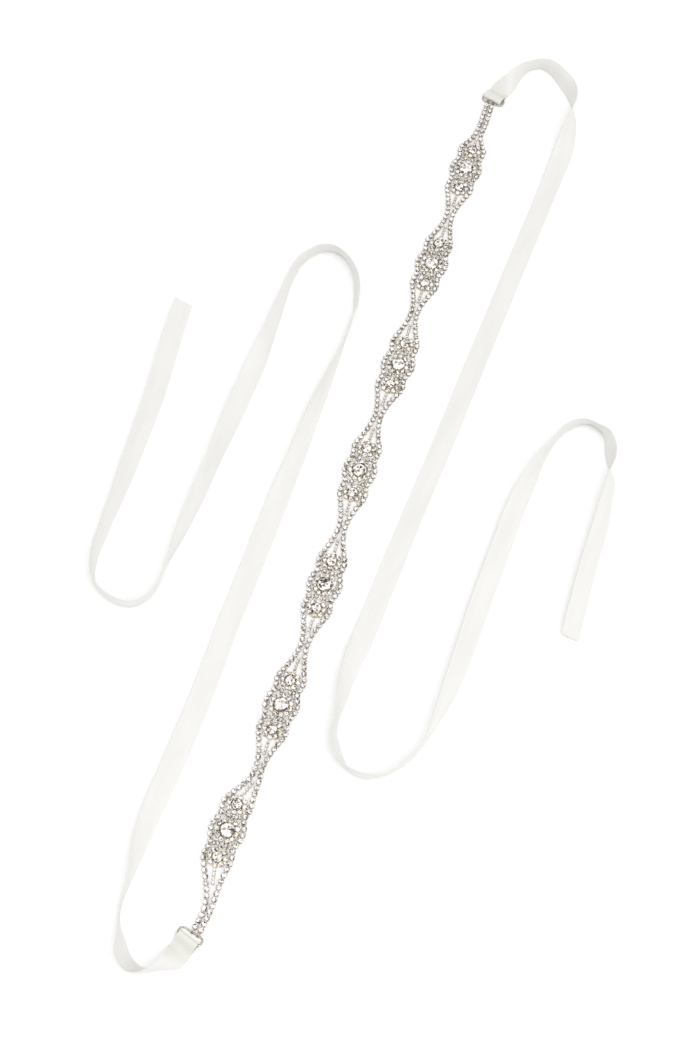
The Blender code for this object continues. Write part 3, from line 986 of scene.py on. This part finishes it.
    def crease_height(self, crease: Crease, across: float, along: float) -> float:
        """How far one crease moves a point of the cloth off its plain form.

        Args:
            crease: The crease, whose place is counted from the bar.
            across: How far the point is to the left of its row's middle.
            along: How far its row is along the cut.

        Returns:
            The height.
        """
        turn = math.radians(crease.turn)
        dx, dy = along - crease.along - self.turn_back * 2, across - crease.across
        run = (dx * math.cos(turn) + dy * math.sin(turn)) / crease.length
        aside = (dy * math.cos(turn) - dx * math.sin(turn)) / crease.width
        if abs(run) > self.crease_reach[0] or abs(aside) > self.crease_reach[1]:
            return 0.0
        return crease.depth * math.exp(-self.crease_fade * (run**2 + aside**2))

    def settle(self, line: list[BMVert], row: RibbonRow) -> None:
        """Drop a row of points until its lowest edge rests on the surface.

        Args:
            line: The row's points.
            row: The row.
        """
        if not row.rests:
            return
        rest = self.wall / 2 * math.sqrt(max(0.0, 1 - row.across.z**2))
        drop = min(vert.co.z for vert in line) - rest
        for vert in line:
            vert.co.z -= drop


@dataclass
class BarTack(SubAssembly):
    """A row of small stitches that holds a tail's turned-back end."""

    tail: RibbonTail
    count: int = 9
    stitch: float = 0.95
    thread: float = 0.11
    thread_sides: int = 6
    inset_share: float = 0.93
    margin: float = 0.8
    rise: float = 0.6
    arch: float = 5.0
    points: int = 5

    def build(self) -> None:
        """Build the stitches over the ribbon, a little short of its turned-back end."""
        loop = self.tail.loop
        travel, left = loop.directions(loop.askew)
        line = Vector((loop.x, loop.y, 0.0)) + travel * (self.tail.turn_back * self.inset_share)
        top = self.tail.wall * 2 + self.tail.ply_gap
        room = self.tail.width - 2 * self.margin
        shape = bmesh.new()
        for i in range(self.count):
            middle = line + left * (room * ((i + 0.5) / self.count - 0.5))
            shares = [k / (self.points - 1) - 0.5 for k in range(self.points)]
            heights = [top + self.thread * (self.rise - self.arch * share**2) for share in shares]
            arc = [middle + left * (self.stitch * s) + up(height) for s, height in zip(shares, heights)]
            tube(shape, arc, self.thread, self.thread_sides)
        self.finished(shape, f"stitches_{loop.name}", self.finishes.thread, "ribbon", 60.0)


# Crystal band


class Tone(NamedTuple):
    """A facet's painted tone, which stands in for its reflection, and its weight among facets that face
    the lamp or turn from it, which get more painted shade.
    """

    colour: Colour
    lit: int
    turned: int


# Painted facet tones, which stand in for reflections and glints, with their weights for lit facets and
# for facets turned from the lamp.
CLEAR_TONES = rows_of(
    Tone,
    ((1.0, 1.0, 1.0), 48, 30),
    ((0.93, 0.90, 0.83), 15, 13),
    ((0.84, 0.79, 0.81), 8, 8),
    ((0.58, 0.52, 0.42), 12, 16),
    ((0.32, 0.26, 0.19), 8, 13),
    ((0.10, 0.08, 0.06), 6, 12),
    ((0.02, 0.017, 0.015), 3, 8),
)

HEART_TONES = rows_of(
    Tone,
    ((1.0, 1.0, 1.0), 34, 26),
    ((0.93, 0.90, 0.83), 14, 14),
    ((0.76, 0.72, 0.72), 14, 14),
    ((0.50, 0.45, 0.38), 14, 16),
    ((0.24, 0.20, 0.16), 12, 14),
    ((0.08, 0.065, 0.055), 8, 10),
    ((0.02, 0.017, 0.015), 4, 6),
)

FINE_TONES = rows_of(
    Tone,
    ((1.0, 0.98, 0.94), 44, 34),
    ((0.82, 0.76, 0.67), 32, 30),
    ((0.55, 0.47, 0.37), 18, 24),
    ((0.28, 0.21, 0.15), 6, 12),
)

# Painted glint and shade tones for the grains between the stones.
GRAIN_TONES = rows_of(
    Tone,
    ((1.0, 0.99, 0.96), 58, 48),
    ((0.90, 0.85, 0.76), 22, 22),
    ((0.66, 0.59, 0.48), 8, 14),
    ((0.34, 0.28, 0.20), 6, 8),
    ((0.06, 0.05, 0.04), 6, 8),
)


class CutStyle(NamedTuple):
    """A cut: its sides, its tones, and its first tier's top as shares of the crown and the radius.

    A second tier goes in by a share of the radius and takes up the rest of the crown.
    """

    sides: int
    tones: Sequence[Tone]
    first_tier: float = 1.0
    first_radius: float = 0.6
    second_inset: float = 0.0


class Cut(Enum):
    """How a stone is cut."""

    SMALL = CutStyle(8, CLEAR_TONES)
    LARGE = CutStyle(12, HEART_TONES, 0.55, 0.84, 0.3)
    FINE = CutStyle(8, FINE_TONES)


@dataclass(frozen=True)
class Setting:
    """A stone's size, its cup's rim, its crown above its girdle, its cut, and its cup's make."""

    radius: float
    rim: float
    crown: float
    cut: Cut = Cut.SMALL
    prongs: int = 4
    sides: int = 8
    seat: float = 0.1


# Facets turned this way from the lamp get more dark tones: painted shade.
TURNED = Vector((0.5, 0.87, 0.0))  # the level way in which facets turn from the lamp


def facet_height(face: BMFace) -> float:
    """How high a facet's middle is."""
    return face.calc_center_median().z


def faces_by_height(verts: Sequence[BMVert]) -> list[BMFace]:
    """The faces round some vertices, each once, from the lowest to the highest."""
    return sorted(dict.fromkeys(face for vert in verts for face in vert.link_faces), key=facet_height)


def cone(
    shape: BMesh, sides: int, radii: tuple[float, float], length: float, place: Matrix
) -> list[BMVert]:
    """Add a capped cone, cut off at its top.

    Args:
        shape: The shape that grows.
        sides: How many sides it has.
        radii: The radii of its foot and its top.
        length: How long it is.
        place: Where its middle lies.

    Returns:
        Its vertices.
    """
    made = bmesh.ops.create_cone(
        shape,
        cap_ends=True,
        segments=sides,
        radius1=radii[0],
        radius2=radii[1],
        depth=length,
        matrix=place,
    )
    return made["verts"]


@dataclass
class StoneTray:
    """Stones of one piece: they share a mesh, and each facet keeps its painted tone of reflection and
    shade.
    """

    seed: int
    post_share: float = 0.8
    post_sides: int = 5

    def __post_init__(self) -> None:
        """Start an empty tray, with its own order of tones."""
        self.shape = bmesh.new()
        self.tones = self.shape.loops.layers.float_color.new("facet")
        self.dice = random.Random(self.seed)
        self.places: list[tuple[Vector, float]] = []

    def add(self, centre: Vector, setting: Setting) -> None:
        """Cut one stone into the tray.

        Args:
            centre: The point of the surface under it.
            setting: How it is cut and set.
        """
        cut, radius = setting.cut.value, setting.radius
        self.places.append((centre, radius))
        height = setting.crown * cut.first_tier
        girdle = setting.rim - setting.seat
        place = standing(centre, girdle + height / 2, self.dice.uniform(0, math.tau))
        radii = (radius, radius * cut.first_radius)
        faces = faces_by_height(cone(self.shape, cut.sides, radii, height, place))
        bmesh.ops.delete(self.shape, geom=[faces.pop(0)], context="FACES_ONLY")
        table = faces.pop()
        if cut.second_inset:
            inset, rise = radius * cut.second_inset, setting.crown - height
            rim = bmesh.ops.inset_individual(self.shape, faces=[table], thickness=inset, depth=rise)
            faces += rim["faces"]
        fan = bmesh.ops.poke(self.shape, faces=[table])
        # Each facet gets a painted tone for its reflection, and facets turned from the lamp draw more
        # dark, painted-shade tones.
        for face in faces + fan["faces"]:
            turned = (face.calc_center_median() - centre).dot(TURNED) > 0
            weights = [tone.turned if turned else tone.lit for tone in cut.tones]
            self.paint(face, self.dice.choices(cut.tones, weights)[0])

    def grain(self, centre: Vector, radius: float, height: float) -> None:
        """Add a grain on a short post, in one painted tone that stands in for its glint or shade.

        Args:
            centre: The point of the surface under it.
            radius: The grain's radius.
            height: How high its middle lies.
        """
        # The grain's one tone is a painted glint or shade, drawn with the lit weights.
        tone = self.dice.choices(GRAIN_TONES, [tone.lit for tone in GRAIN_TONES])[0]
        bead = bmesh.ops.create_icosphere(
            self.shape, subdivisions=1, radius=radius, matrix=standing(centre, height)
        )
        radii = (radius * self.post_share,) * 2
        post = cone(self.shape, self.post_sides, radii, height, standing(centre, height / 2))
        for face in faces_by_height(bead["verts"] + post):
            self.paint(face, tone)

    def paint(self, face: BMFace, tone: Tone) -> None:
        """Give a facet its painted tone."""
        for corner in face.loops:
            corner[self.tones] = (*tone.colour, 1.0)


@dataclass
class Metalwork:
    """Silver cups, prongs, plates and links of one piece, in one mesh.

    The taper and the claws' reach are shares of the cup's and the stone's radius, the hollow and the
    claws' feet of the rim's height, and the claws' inset and tips of their own width.
    """

    shape: BMesh = field(default_factory=bmesh.new)
    wall: float = 0.03
    lip: float = 0.2
    taper: float = 0.86
    hollow: float = 0.3
    claw: float = 0.2
    claw_growth: float = 0.05
    claw_foot: float = 0.55
    claw_inset: float = 0.15
    claw_reach: float = 0.86
    claw_rise: float = 0.32
    claw_tip: float = 0.62
    claw_sides: int = 5
    plate_gap: float = 0.05
    plate_wall: float = 0.45
    lobe: float = 0.07

    def cup(self, centre: Vector, setting: Setting, turn: float) -> None:
        """Add a cup with a hollow for its stone, and prongs bent over the stone's crown.

        Args:
            centre: The point of the surface under it.
            setting: How its stone is set.
            turn: The angle of its first prong.
        """
        radius, rim = setting.radius, setting.rim
        outer, claw = radius + self.wall, self.claw + radius * self.claw_growth
        radii = (outer * self.taper, outer)
        verts = cone(self.shape, setting.sides, radii, rim, standing(centre, rim / 2, turn))
        mouth = faces_by_height(verts)[-1]
        bmesh.ops.inset_individual(self.shape, faces=[mouth], thickness=self.lip, depth=0.0)
        for vert in mouth.verts:
            vert.co.z -= rim * self.hollow
        for i in range(setting.prongs):
            way = bearing(turn + math.tau * i / setting.prongs)
            foot = centre + way * (outer + claw * self.claw_inset) + up(rim * self.claw_foot)
            tip = centre + way * (radius * self.claw_reach) + up(rim + self.claw_rise)
            lean = (tip - foot).to_track_quat("Z", "Y").to_matrix().to_4x4()
            place = Matrix.Translation((foot + tip) / 2) @ lean
            radii = (claw, claw * self.claw_tip)
            cone(self.shape, self.claw_sides, radii, (tip - foot).length, place)

    def link(self, start: Vector, end: Vector, size: tuple[float, float], height: float) -> None:
        """Add a flat link between two cups.

        Args:
            start: The middle of one cup.
            end: The middle of the other.
            size: Its width and its thickness.
            height: How high its middle lies.
        """
        turn = (end - start).to_track_quat("X", "Z").to_matrix().to_4x4()
        stretch = Matrix.Diagonal(((end - start).length, *size, 1.0))
        place = Matrix.Translation((start + end) / 2 + up(height)) @ turn @ stretch
        bmesh.ops.create_cube(self.shape, size=1.0, matrix=place)

    def plate(self, centre: Vector, radius: float, lobes: int, turn: float) -> None:
        """Add a thin back plate with a lobed edge.

        Args:
            centre: The point of the surface under it.
            radius: Its middling radius.
            lobes: How many lobes it has.
            turn: The angle of its first lobe.
        """
        place = standing(centre, self.plate_gap, turn)
        verts = bmesh.ops.create_circle(
            self.shape, cap_ends=True, segments=lobes * 4, radius=radius, matrix=place
        )["verts"]
        for vert in verts:
            offset = vert.co - centre
            lobe = 1 + self.lobe * math.cos(lobes * (math.atan2(offset.y, offset.x) - turn))
            vert.co = centre + Vector((offset.x * lobe, offset.y * lobe, offset.z))
        grown = bmesh.ops.extrude_face_region(self.shape, geom=[verts[0].link_faces[0]])
        lifted = [item for item in grown["geom"] if isinstance(item, BMVert)]
        bmesh.ops.translate(self.shape, vec=up(self.plate_wall), verts=lifted)


class Jewels:
    """The stones and the metalwork of one part of the band."""

    def __init__(self, seed: int) -> None:
        """Start with no stones, and with their own order of tones."""
        self.stones, self.metal = StoneTray(seed), Metalwork()

    def mount(self, centre: Vector, setting: Setting, turn: float = math.pi / 4) -> None:
        """Set a stone in its cup, whose first prong has an angle."""
        self.metal.cup(centre, setting, turn)
        self.stones.add(centre, setting)


@dataclass
class CrystalBand:
    """The band's layout: seven motifs between two outer strands."""

    upper: WireLoop
    lower: WireLoop
    motifs: int = 7
    pitch: float = 78.35
    fork_top: float = 31.0
    fork_bottom: float = 44.0
    fork_start: float = 17.0
    end_gap: float = 0.64875
    stone_pitch: float = 3.55
    sampling: float = 2.0

    def middle(self, along: float) -> Vector:
        """The band's middle at one place along it."""
        return Vector((DRIFT.at(along), along, 0.0))

    def run_angle(self, along: float) -> float:
        """The band's own direction there, as a turn from +Y."""
        run = self.middle(along + self.sampling) - self.middle(along - self.sampling)
        return -math.atan2(run.x, run.y)

    def half_gap(self, along: float) -> float:
        """Half the distance between the outer strands, where each end's fork is a shorter waist.

        Args:
            along: The place along the band.

        Returns:
            Half the distance.
        """
        edge, waist = self.motifs // 2, self.pitch / 2
        motif = min(max(round(along / self.pitch), -edge), edge)
        offset, fork = along - motif * self.pitch, waist
        if motif == edge and offset > 0:
            fork = self.fork_top
        if motif == -edge and offset < 0:
            fork = self.fork_bottom
        distance = abs(offset)
        if distance > self.fork_start:
            stretch = (waist - self.fork_start) / (fork - self.fork_start)
            distance = self.fork_start + (distance - self.fork_start) * stretch
        return HALF_GAP.at(min(distance, waist))

    def wire_edge(self, loop: WireLoop, side: int) -> float:
        """Where a strand stops short of a loop's near wire.

        Args:
            loop: The loop.
            side: -1 for the left strand and 1 for the right.

        Returns:
            The place along the band.
        """
        heading = math.radians(loop.heading)
        across = DRIFT.at(loop.y) + side * STRAND_HALF_GAP[-1].value
        reach = loop.bar_gap + loop.wire / 2 + self.end_gap
        return loop.y - ((across - loop.x) * math.cos(heading) + reach) / math.sin(heading)

    def strand_line(self, side: int) -> list[Vector]:
        """The centre line of an outer strand.

        Args:
            side: -1 for the left strand and 1 for the right.

        Returns:
            Its points, two a millimetre.
        """
        bottom, top = (self.wire_edge(loop, side) for loop in (self.lower, self.upper))
        count = int((top - bottom) * 2)
        places = [bottom + (top - bottom) * i / count for i in range(count + 1)]
        return [self.middle(along) + Vector((side * self.half_gap(along), 0, 0)) for along in places]

    def strand_stones(self, side: int) -> list[tuple[Vector, Vector]]:
        """The stones of an outer strand.

        Args:
            side: -1 for the left strand and 1 for the right.

        Returns:
            Each stone's place and the strand's direction there.
        """
        line = self.strand_line(side)
        lengths = [0.0]
        for here, there in zip(line, line[1:]):
            lengths.append(lengths[-1] + (there - here).length)
        stones = round(lengths[-1] / self.stone_pitch)
        places, index = [], 0
        for i in range(stones):
            at = lengths[-1] * (i + 0.5) / stones
            while index < len(line) - 2 and lengths[index + 1] < at:
                index += 1
            share = (at - lengths[index]) / (lengths[index + 1] - lengths[index])
            direction = (line[index + 1] - line[index]).normalized()
            places.append((line[index].lerp(line[index + 1], share), direction))
        return places


@dataclass
class JewelledPart(SubAssembly):
    """A part of the band, with its stones in one piece and its metalwork in another."""

    band: CrystalBand

    def dress(
        self, jewels: Jewels, names: tuple[str, str], silver: Material, nodes: Sequence[str]
    ) -> None:
        """Finish the part's stones and its metalwork.

        Args:
            jewels: The stones and the metalwork.
            names: The two pieces' names.
            silver: The metalwork's finish.
            nodes: The solids that the stones stand for.
        """
        piece = self.finished(jewels.stones.shape, names[0], self.finishes.crystal, "crystal")
        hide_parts(*nodes)
        metal = jewels.metal.shape
        bmesh.ops.recalc_face_normals(metal, faces=metal.faces)
        self.finished(metal, names[1], silver, "crystal", 30.0)


@dataclass
class StoneStrand(JewelledPart):
    """An outer strand: round stones in pronged cups, joined by flat links."""

    node: str
    side: int
    setting: Setting = Setting(1.5, 1.7, 0.75)
    link_size: tuple[float, float] = (0.8, 0.45)
    link_height: float = 0.7
    looseness: float = 0.12
    tone_seed: int = 11
    turn_seed: int = 40

    def build(self) -> None:
        """Build the strand's stones and its metalwork."""
        jewels, dice = Jewels(self.tone_seed + self.side), random.Random(self.turn_seed + self.side)
        places = self.band.strand_stones(self.side)
        for i, (centre, direction) in enumerate(places):
            loose = dice.uniform(-self.looseness, self.looseness)
            turn = math.atan2(direction.y, direction.x) + math.pi / 4 + loose
            jewels.mount(centre, self.setting, turn)
            if i:
                jewels.metal.link(places[i - 1][0], centre, self.link_size, self.link_height)
        names = (f"{self.node}_stones", f"{self.node}_cups")
        self.dress(jewels, names, self.finishes.bright_silver, [self.node])


@dataclass(frozen=True)
class Medallion:
    """A centre stone in a ring of small ones: its setting, and the ring's radius and count."""

    heart: Setting
    ring: float
    count: int
    bead: Setting = Setting(1.5, 1.7, 0.7)
    margin: float = 1.1
    heart_turn: float = 0.2

    def build(self, jewels: Jewels, centre: Vector, turn: float) -> None:
        """Add the medallion to a motif.

        Args:
            jewels: The motif's stones and metalwork.
            centre: The medallion's middle.
            turn: The angle of its first small stone.
        """
        jewels.metal.plate(centre, self.ring + self.margin, self.count, turn)
        jewels.mount(centre, self.heart, turn + self.heart_turn)
        for i in range(self.count):
            angle = turn + math.tau * i / self.count
            jewels.mount(centre + bearing(angle) * self.ring, self.bead, angle + math.pi / 4)


class Filler(NamedTuple):
    """A stone that fills a corner between two medallions: its setting and its place."""

    setting: Setting
    along: float
    aside: float


@dataclass
class Motif(JewelledPart):
    """A motif: a large medallion between two small ones, filling stones and fine strands."""

    number: int
    large: Medallion = Medallion(Setting(4.2, 2.5, 1.26, Cut.LARGE, 8, 16), 5.75, 11)
    small: Medallion = Medallion(Setting(2.96, 2.2, 0.888, Cut.LARGE, 6, 16), 4.5, 8)
    small_offset: float = 15.6
    fillers: tuple[Filler, ...] = (
        Filler(Setting(1.05, 1.7, 0.6), 8.3, 2.4),
        Filler(Setting(0.85, 1.5, 0.5), 8.9, 4.45),
    )
    fine: Setting = Setting(0.82, 1.1, 0.45, Cut.FINE)
    fine_pitch: float = 2.3
    fine_start: float = 1.85
    fine_room: float = 2.85
    fine_most: int = 4
    fine_link: tuple[float, float] = (0.6, 0.35)
    fine_link_height: float = 0.5
    grain_reach: float = 18.4
    grain_pitch: float = 0.92
    grain_margin: float = 1.9
    grain_nudge: float = 0.12
    grain_sizes: tuple[float, float] = (0.34, 0.44)
    grain_heights: tuple[float, float] = (0.9, 1.5)
    grain_clearance: float = 0.75
    tone_seed: int = 100
    grain_seed: int = 300

    @property
    def along(self) -> float:
        """Where the motif's middle is along the band."""
        return (self.band.motifs // 2 + 1 - self.number) * self.band.pitch

    def build(self) -> None:
        """Build the motif's stones and metalwork."""
        jewels = Jewels(self.tone_seed + self.number)
        self.medallion(jewels, self.large, 0.0)
        for end in (1, -1):
            self.medallion(jewels, self.small, end * self.small_offset)
            for side in (1, -1):
                for filler in self.fillers:
                    aside = Vector((side * filler.aside, 0, 0))
                    spot = self.band.middle(self.along + end * filler.along) + aside
                    jewels.mount(spot, filler.setting)
            self.fine_strand(jewels, end)
        self.grains(jewels.stones)
        names = (f"motif_{self.number}_stones", f"motif_{self.number}_settings")
        nodes = [f"medallion_{self.number}{letter}" for letter in "abc"]
        nodes += [f"seed_strand_{self.number}{letter}" for letter in "ac"]
        self.dress(jewels, names, self.finishes.setting_silver, nodes)

    def medallion(self, jewels: Jewels, medallion: Medallion, offset: float) -> None:
        """Add a medallion at its place in the motif.

        Args:
            jewels: The motif's stones and metalwork.
            medallion: The medallion.
            offset: How far along the band it is from the motif's middle.
        """
        along = self.along + offset
        turn = self.band.run_angle(along) + math.pi / 2
        medallion.build(jewels, self.band.middle(along), turn)

    def fine_strand(self, jewels: Jewels, end: int) -> None:
        """Add the fine strand that runs from a small medallion into the waist.

        Args:
            jewels: The motif's stones and metalwork.
            end: 1 for the upper end and -1 for the lower.
        """
        start = self.small_offset + self.small.ring + self.fine_start
        shares = [i + 0.5 for i in range(self.fine_most)]
        places = [self.along + end * (start + self.fine_pitch * share) for share in shares]
        while self.band.half_gap(places[-1]) < self.fine_room:
            places.pop()
        spots = [self.band.middle(place) for place in places]
        for spot in spots:
            jewels.mount(spot, self.fine)
        for here, there in zip(spots, spots[1:]):
            jewels.metal.link(here, there, self.fine_link, self.fine_link_height)

    def grains(self, stones: StoneTray) -> None:
        """Fill the gaps between the stones with grains in painted glint tones, on a staggered grid.

        Args:
            stones: The motif's stones.
        """
        dice = random.Random(self.grain_seed + self.number)
        rows = round(2 * self.grain_reach / self.grain_pitch)
        for i in range(rows + 1):
            along = self.along - self.grain_reach + i * self.grain_pitch
            count = int((self.band.half_gap(along) - self.grain_margin) / self.grain_pitch)
            for k in range(-count, count + 1):
                nudge = [dice.uniform(-self.grain_nudge, self.grain_nudge) for _ in range(2)]
                aside = Vector(((k + 0.5 * (i % 2)) * self.grain_pitch, 0, 0))
                spot = self.band.middle(along) + aside + Vector((*nudge, 0.0))
                size = dice.uniform(*self.grain_sizes)
                room = min((spot - place).length - radius for place, radius in stones.places)
                if room > size * self.grain_clearance:
                    stones.grain(spot, size, dice.uniform(*self.grain_heights))


@dataclass
class JumpRings(SubAssembly):
    """Fine rings that tie both strands to a loop's near wire."""

    band: CrystalBand
    loop: WireLoop
    wire: float = 0.22
    length: float = 1.75
    height: float = 0.98
    reach: float = 0.75
    lift: float = 0.25
    spread: float = 0.45
    floor_gap: float = 0.02
    points: int = 14
    sides: int = 6

    def build(self) -> None:
        """Build two rings a strand, round the wire and the last link."""
        shape = bmesh.new()
        travel, side = self.loop.directions()
        turns = [math.tau * i / self.points for i in range(self.points)]
        for strand in (-1, 1):
            end = self.band.strand_line(strand)[-1 if self.loop is self.band.upper else 0]
            for nudge in (-self.spread, self.spread):
                hub = self.loop.near_wire((end - self.loop.near_wire(0.0)).dot(side) + nudge)
                middle = hub - travel * self.reach + up(self.lift)
                along = [travel * (self.length * math.cos(turn)) for turn in turns]
                ring = [middle + way + up(self.height * math.sin(t)) for way, t in zip(along, turns)]
                tube(shape, ring, self.wire, self.sides, closed=True)
        for vert in shape.verts:
            vert.co.z = max(vert.co.z, self.floor_gap)
        self.finished(shape, f"rings_{self.loop.name}", self.finishes.bright_silver, "wire", 40.0)


# Studio


class Softbox(NamedTuple):
    """A soft square light, its place and size in metres, and its power in watts."""

    name: str
    spot: tuple[float, float, float]
    size: float
    power: float


SOFTBOXES = [
    Softbox("softbox_above", (0.1, -0.45, 2.0), 1.6, 13.0),
    Softbox("softbox_right", (1.3, -0.5, 1.2), 1.0, 6.3),
]


@dataclass(frozen=True)
class Studio:
    """A pale floor, soft light from above, and the camera."""

    daylight: float = 0.88
    floor_size: float = 20.0
    floor_height: float = -0.00005
    camera_spot: tuple[float, float, float] = (142.944, -487.413, 963.0)
    heading: tuple[float, float] = (-0.3004, 0.9538)
    pitch: float = 64.0
    lens: float = 61.65
    sensor: float = 36.0
    near: float = 0.01

    def floor(self) -> None:
        """Lay the floor."""
        shape = bmesh.new()
        bmesh.ops.create_grid(shape, x_segments=1, y_segments=1, size=self.floor_size)
        data = bpy.data.meshes.new("floor")
        shape.to_mesh(data)
        shape.free()
        data.materials.append(FloorFinish().make())
        floor = bpy.data.objects.new("floor", data)
        floor.location.z = self.floor_height
        bpy.context.scene.collection.objects.link(floor)

    def light(self, softbox: Softbox) -> None:
        """Hang a light that faces the sash.

        Args:
            softbox: The light.
        """
        data = bpy.data.lights.new(softbox.name, "AREA")
        data.shape, data.size, data.energy = "SQUARE", softbox.size, softbox.power
        lamp = bpy.data.objects.new(softbox.name, data)
        lamp.location = softbox.spot
        lamp.rotation_euler = (-Vector(softbox.spot)).to_track_quat("-Z", "Y").to_euler()
        bpy.context.scene.collection.objects.link(lamp)

    def camera(self) -> None:
        """Set up the camera."""
        data = bpy.data.cameras.new("camera")
        data.lens, data.sensor_width, data.sensor_fit = self.lens, self.sensor, "AUTO"
        data.clip_start = self.near
        camera = bpy.data.objects.new("camera", data)
        camera.location = Vector(self.camera_spot) * MM
        pitch = math.radians(self.pitch)
        way = Vector((*self.heading, 0.0)).normalized() * math.cos(pitch) + up(-math.sin(pitch))
        camera.rotation_euler = way.to_track_quat("-Z", "Y").to_euler()
        bpy.context.scene.collection.objects.link(camera)
        bpy.context.scene.camera = camera

    def build(self) -> None:
        """Build the studio."""
        scene = bpy.context.scene
        scene.view_settings.view_transform = "Standard"
        scene.view_settings.look = "None"
        scene.world = bpy.data.worlds.new("studio")
        scene.world.use_nodes = True
        backdrop = scene.world.node_tree.nodes["Background"]
        backdrop.inputs["Color"].default_value = (1.0, 1.0, 1.0, 1.0)
        backdrop.inputs["Strength"].default_value = self.daylight
        self.floor()
        for softbox in SOFTBOXES:
            self.light(softbox)
        self.camera()


def main() -> None:
    """Build the studio and every piece of the sash."""
    logging.basicConfig(level=logging.INFO, format="%(name)s %(message)s")
    Studio().build()
    finishes = Finishes.made()
    upper = WireLoop(finishes, "loop_upper", 1.8, 298.4, 82.5, -8.0, 2.5)
    lower = WireLoop(finishes, "loop_lower", -3.6, -298.5, -104.5, -5.0, 0.7)
    for loop in (upper, lower):
        loop.build()
    for node, loop, route, creases in (
        ("ribbon_tail_upper", upper, UPPER_ROUTE, UPPER_CREASES),
        ("ribbon_tail_lower", lower, LOWER_ROUTE, LOWER_CREASES),
    ):
        tail = RibbonTail(finishes, node, loop, route, creases)
        tail.build()
        BarTack(finishes, tail).build()
    band = CrystalBand(upper, lower)
    for node, side in (("strand_left", -1), ("strand_right", 1)):
        StoneStrand(finishes, band, node, side).build()
    for number in range(1, band.motifs + 1):
        Motif(finishes, band, number).build()
    for loop in (upper, lower):
        JumpRings(finishes, band, loop).build()


if __name__ == "__main__":
    main()
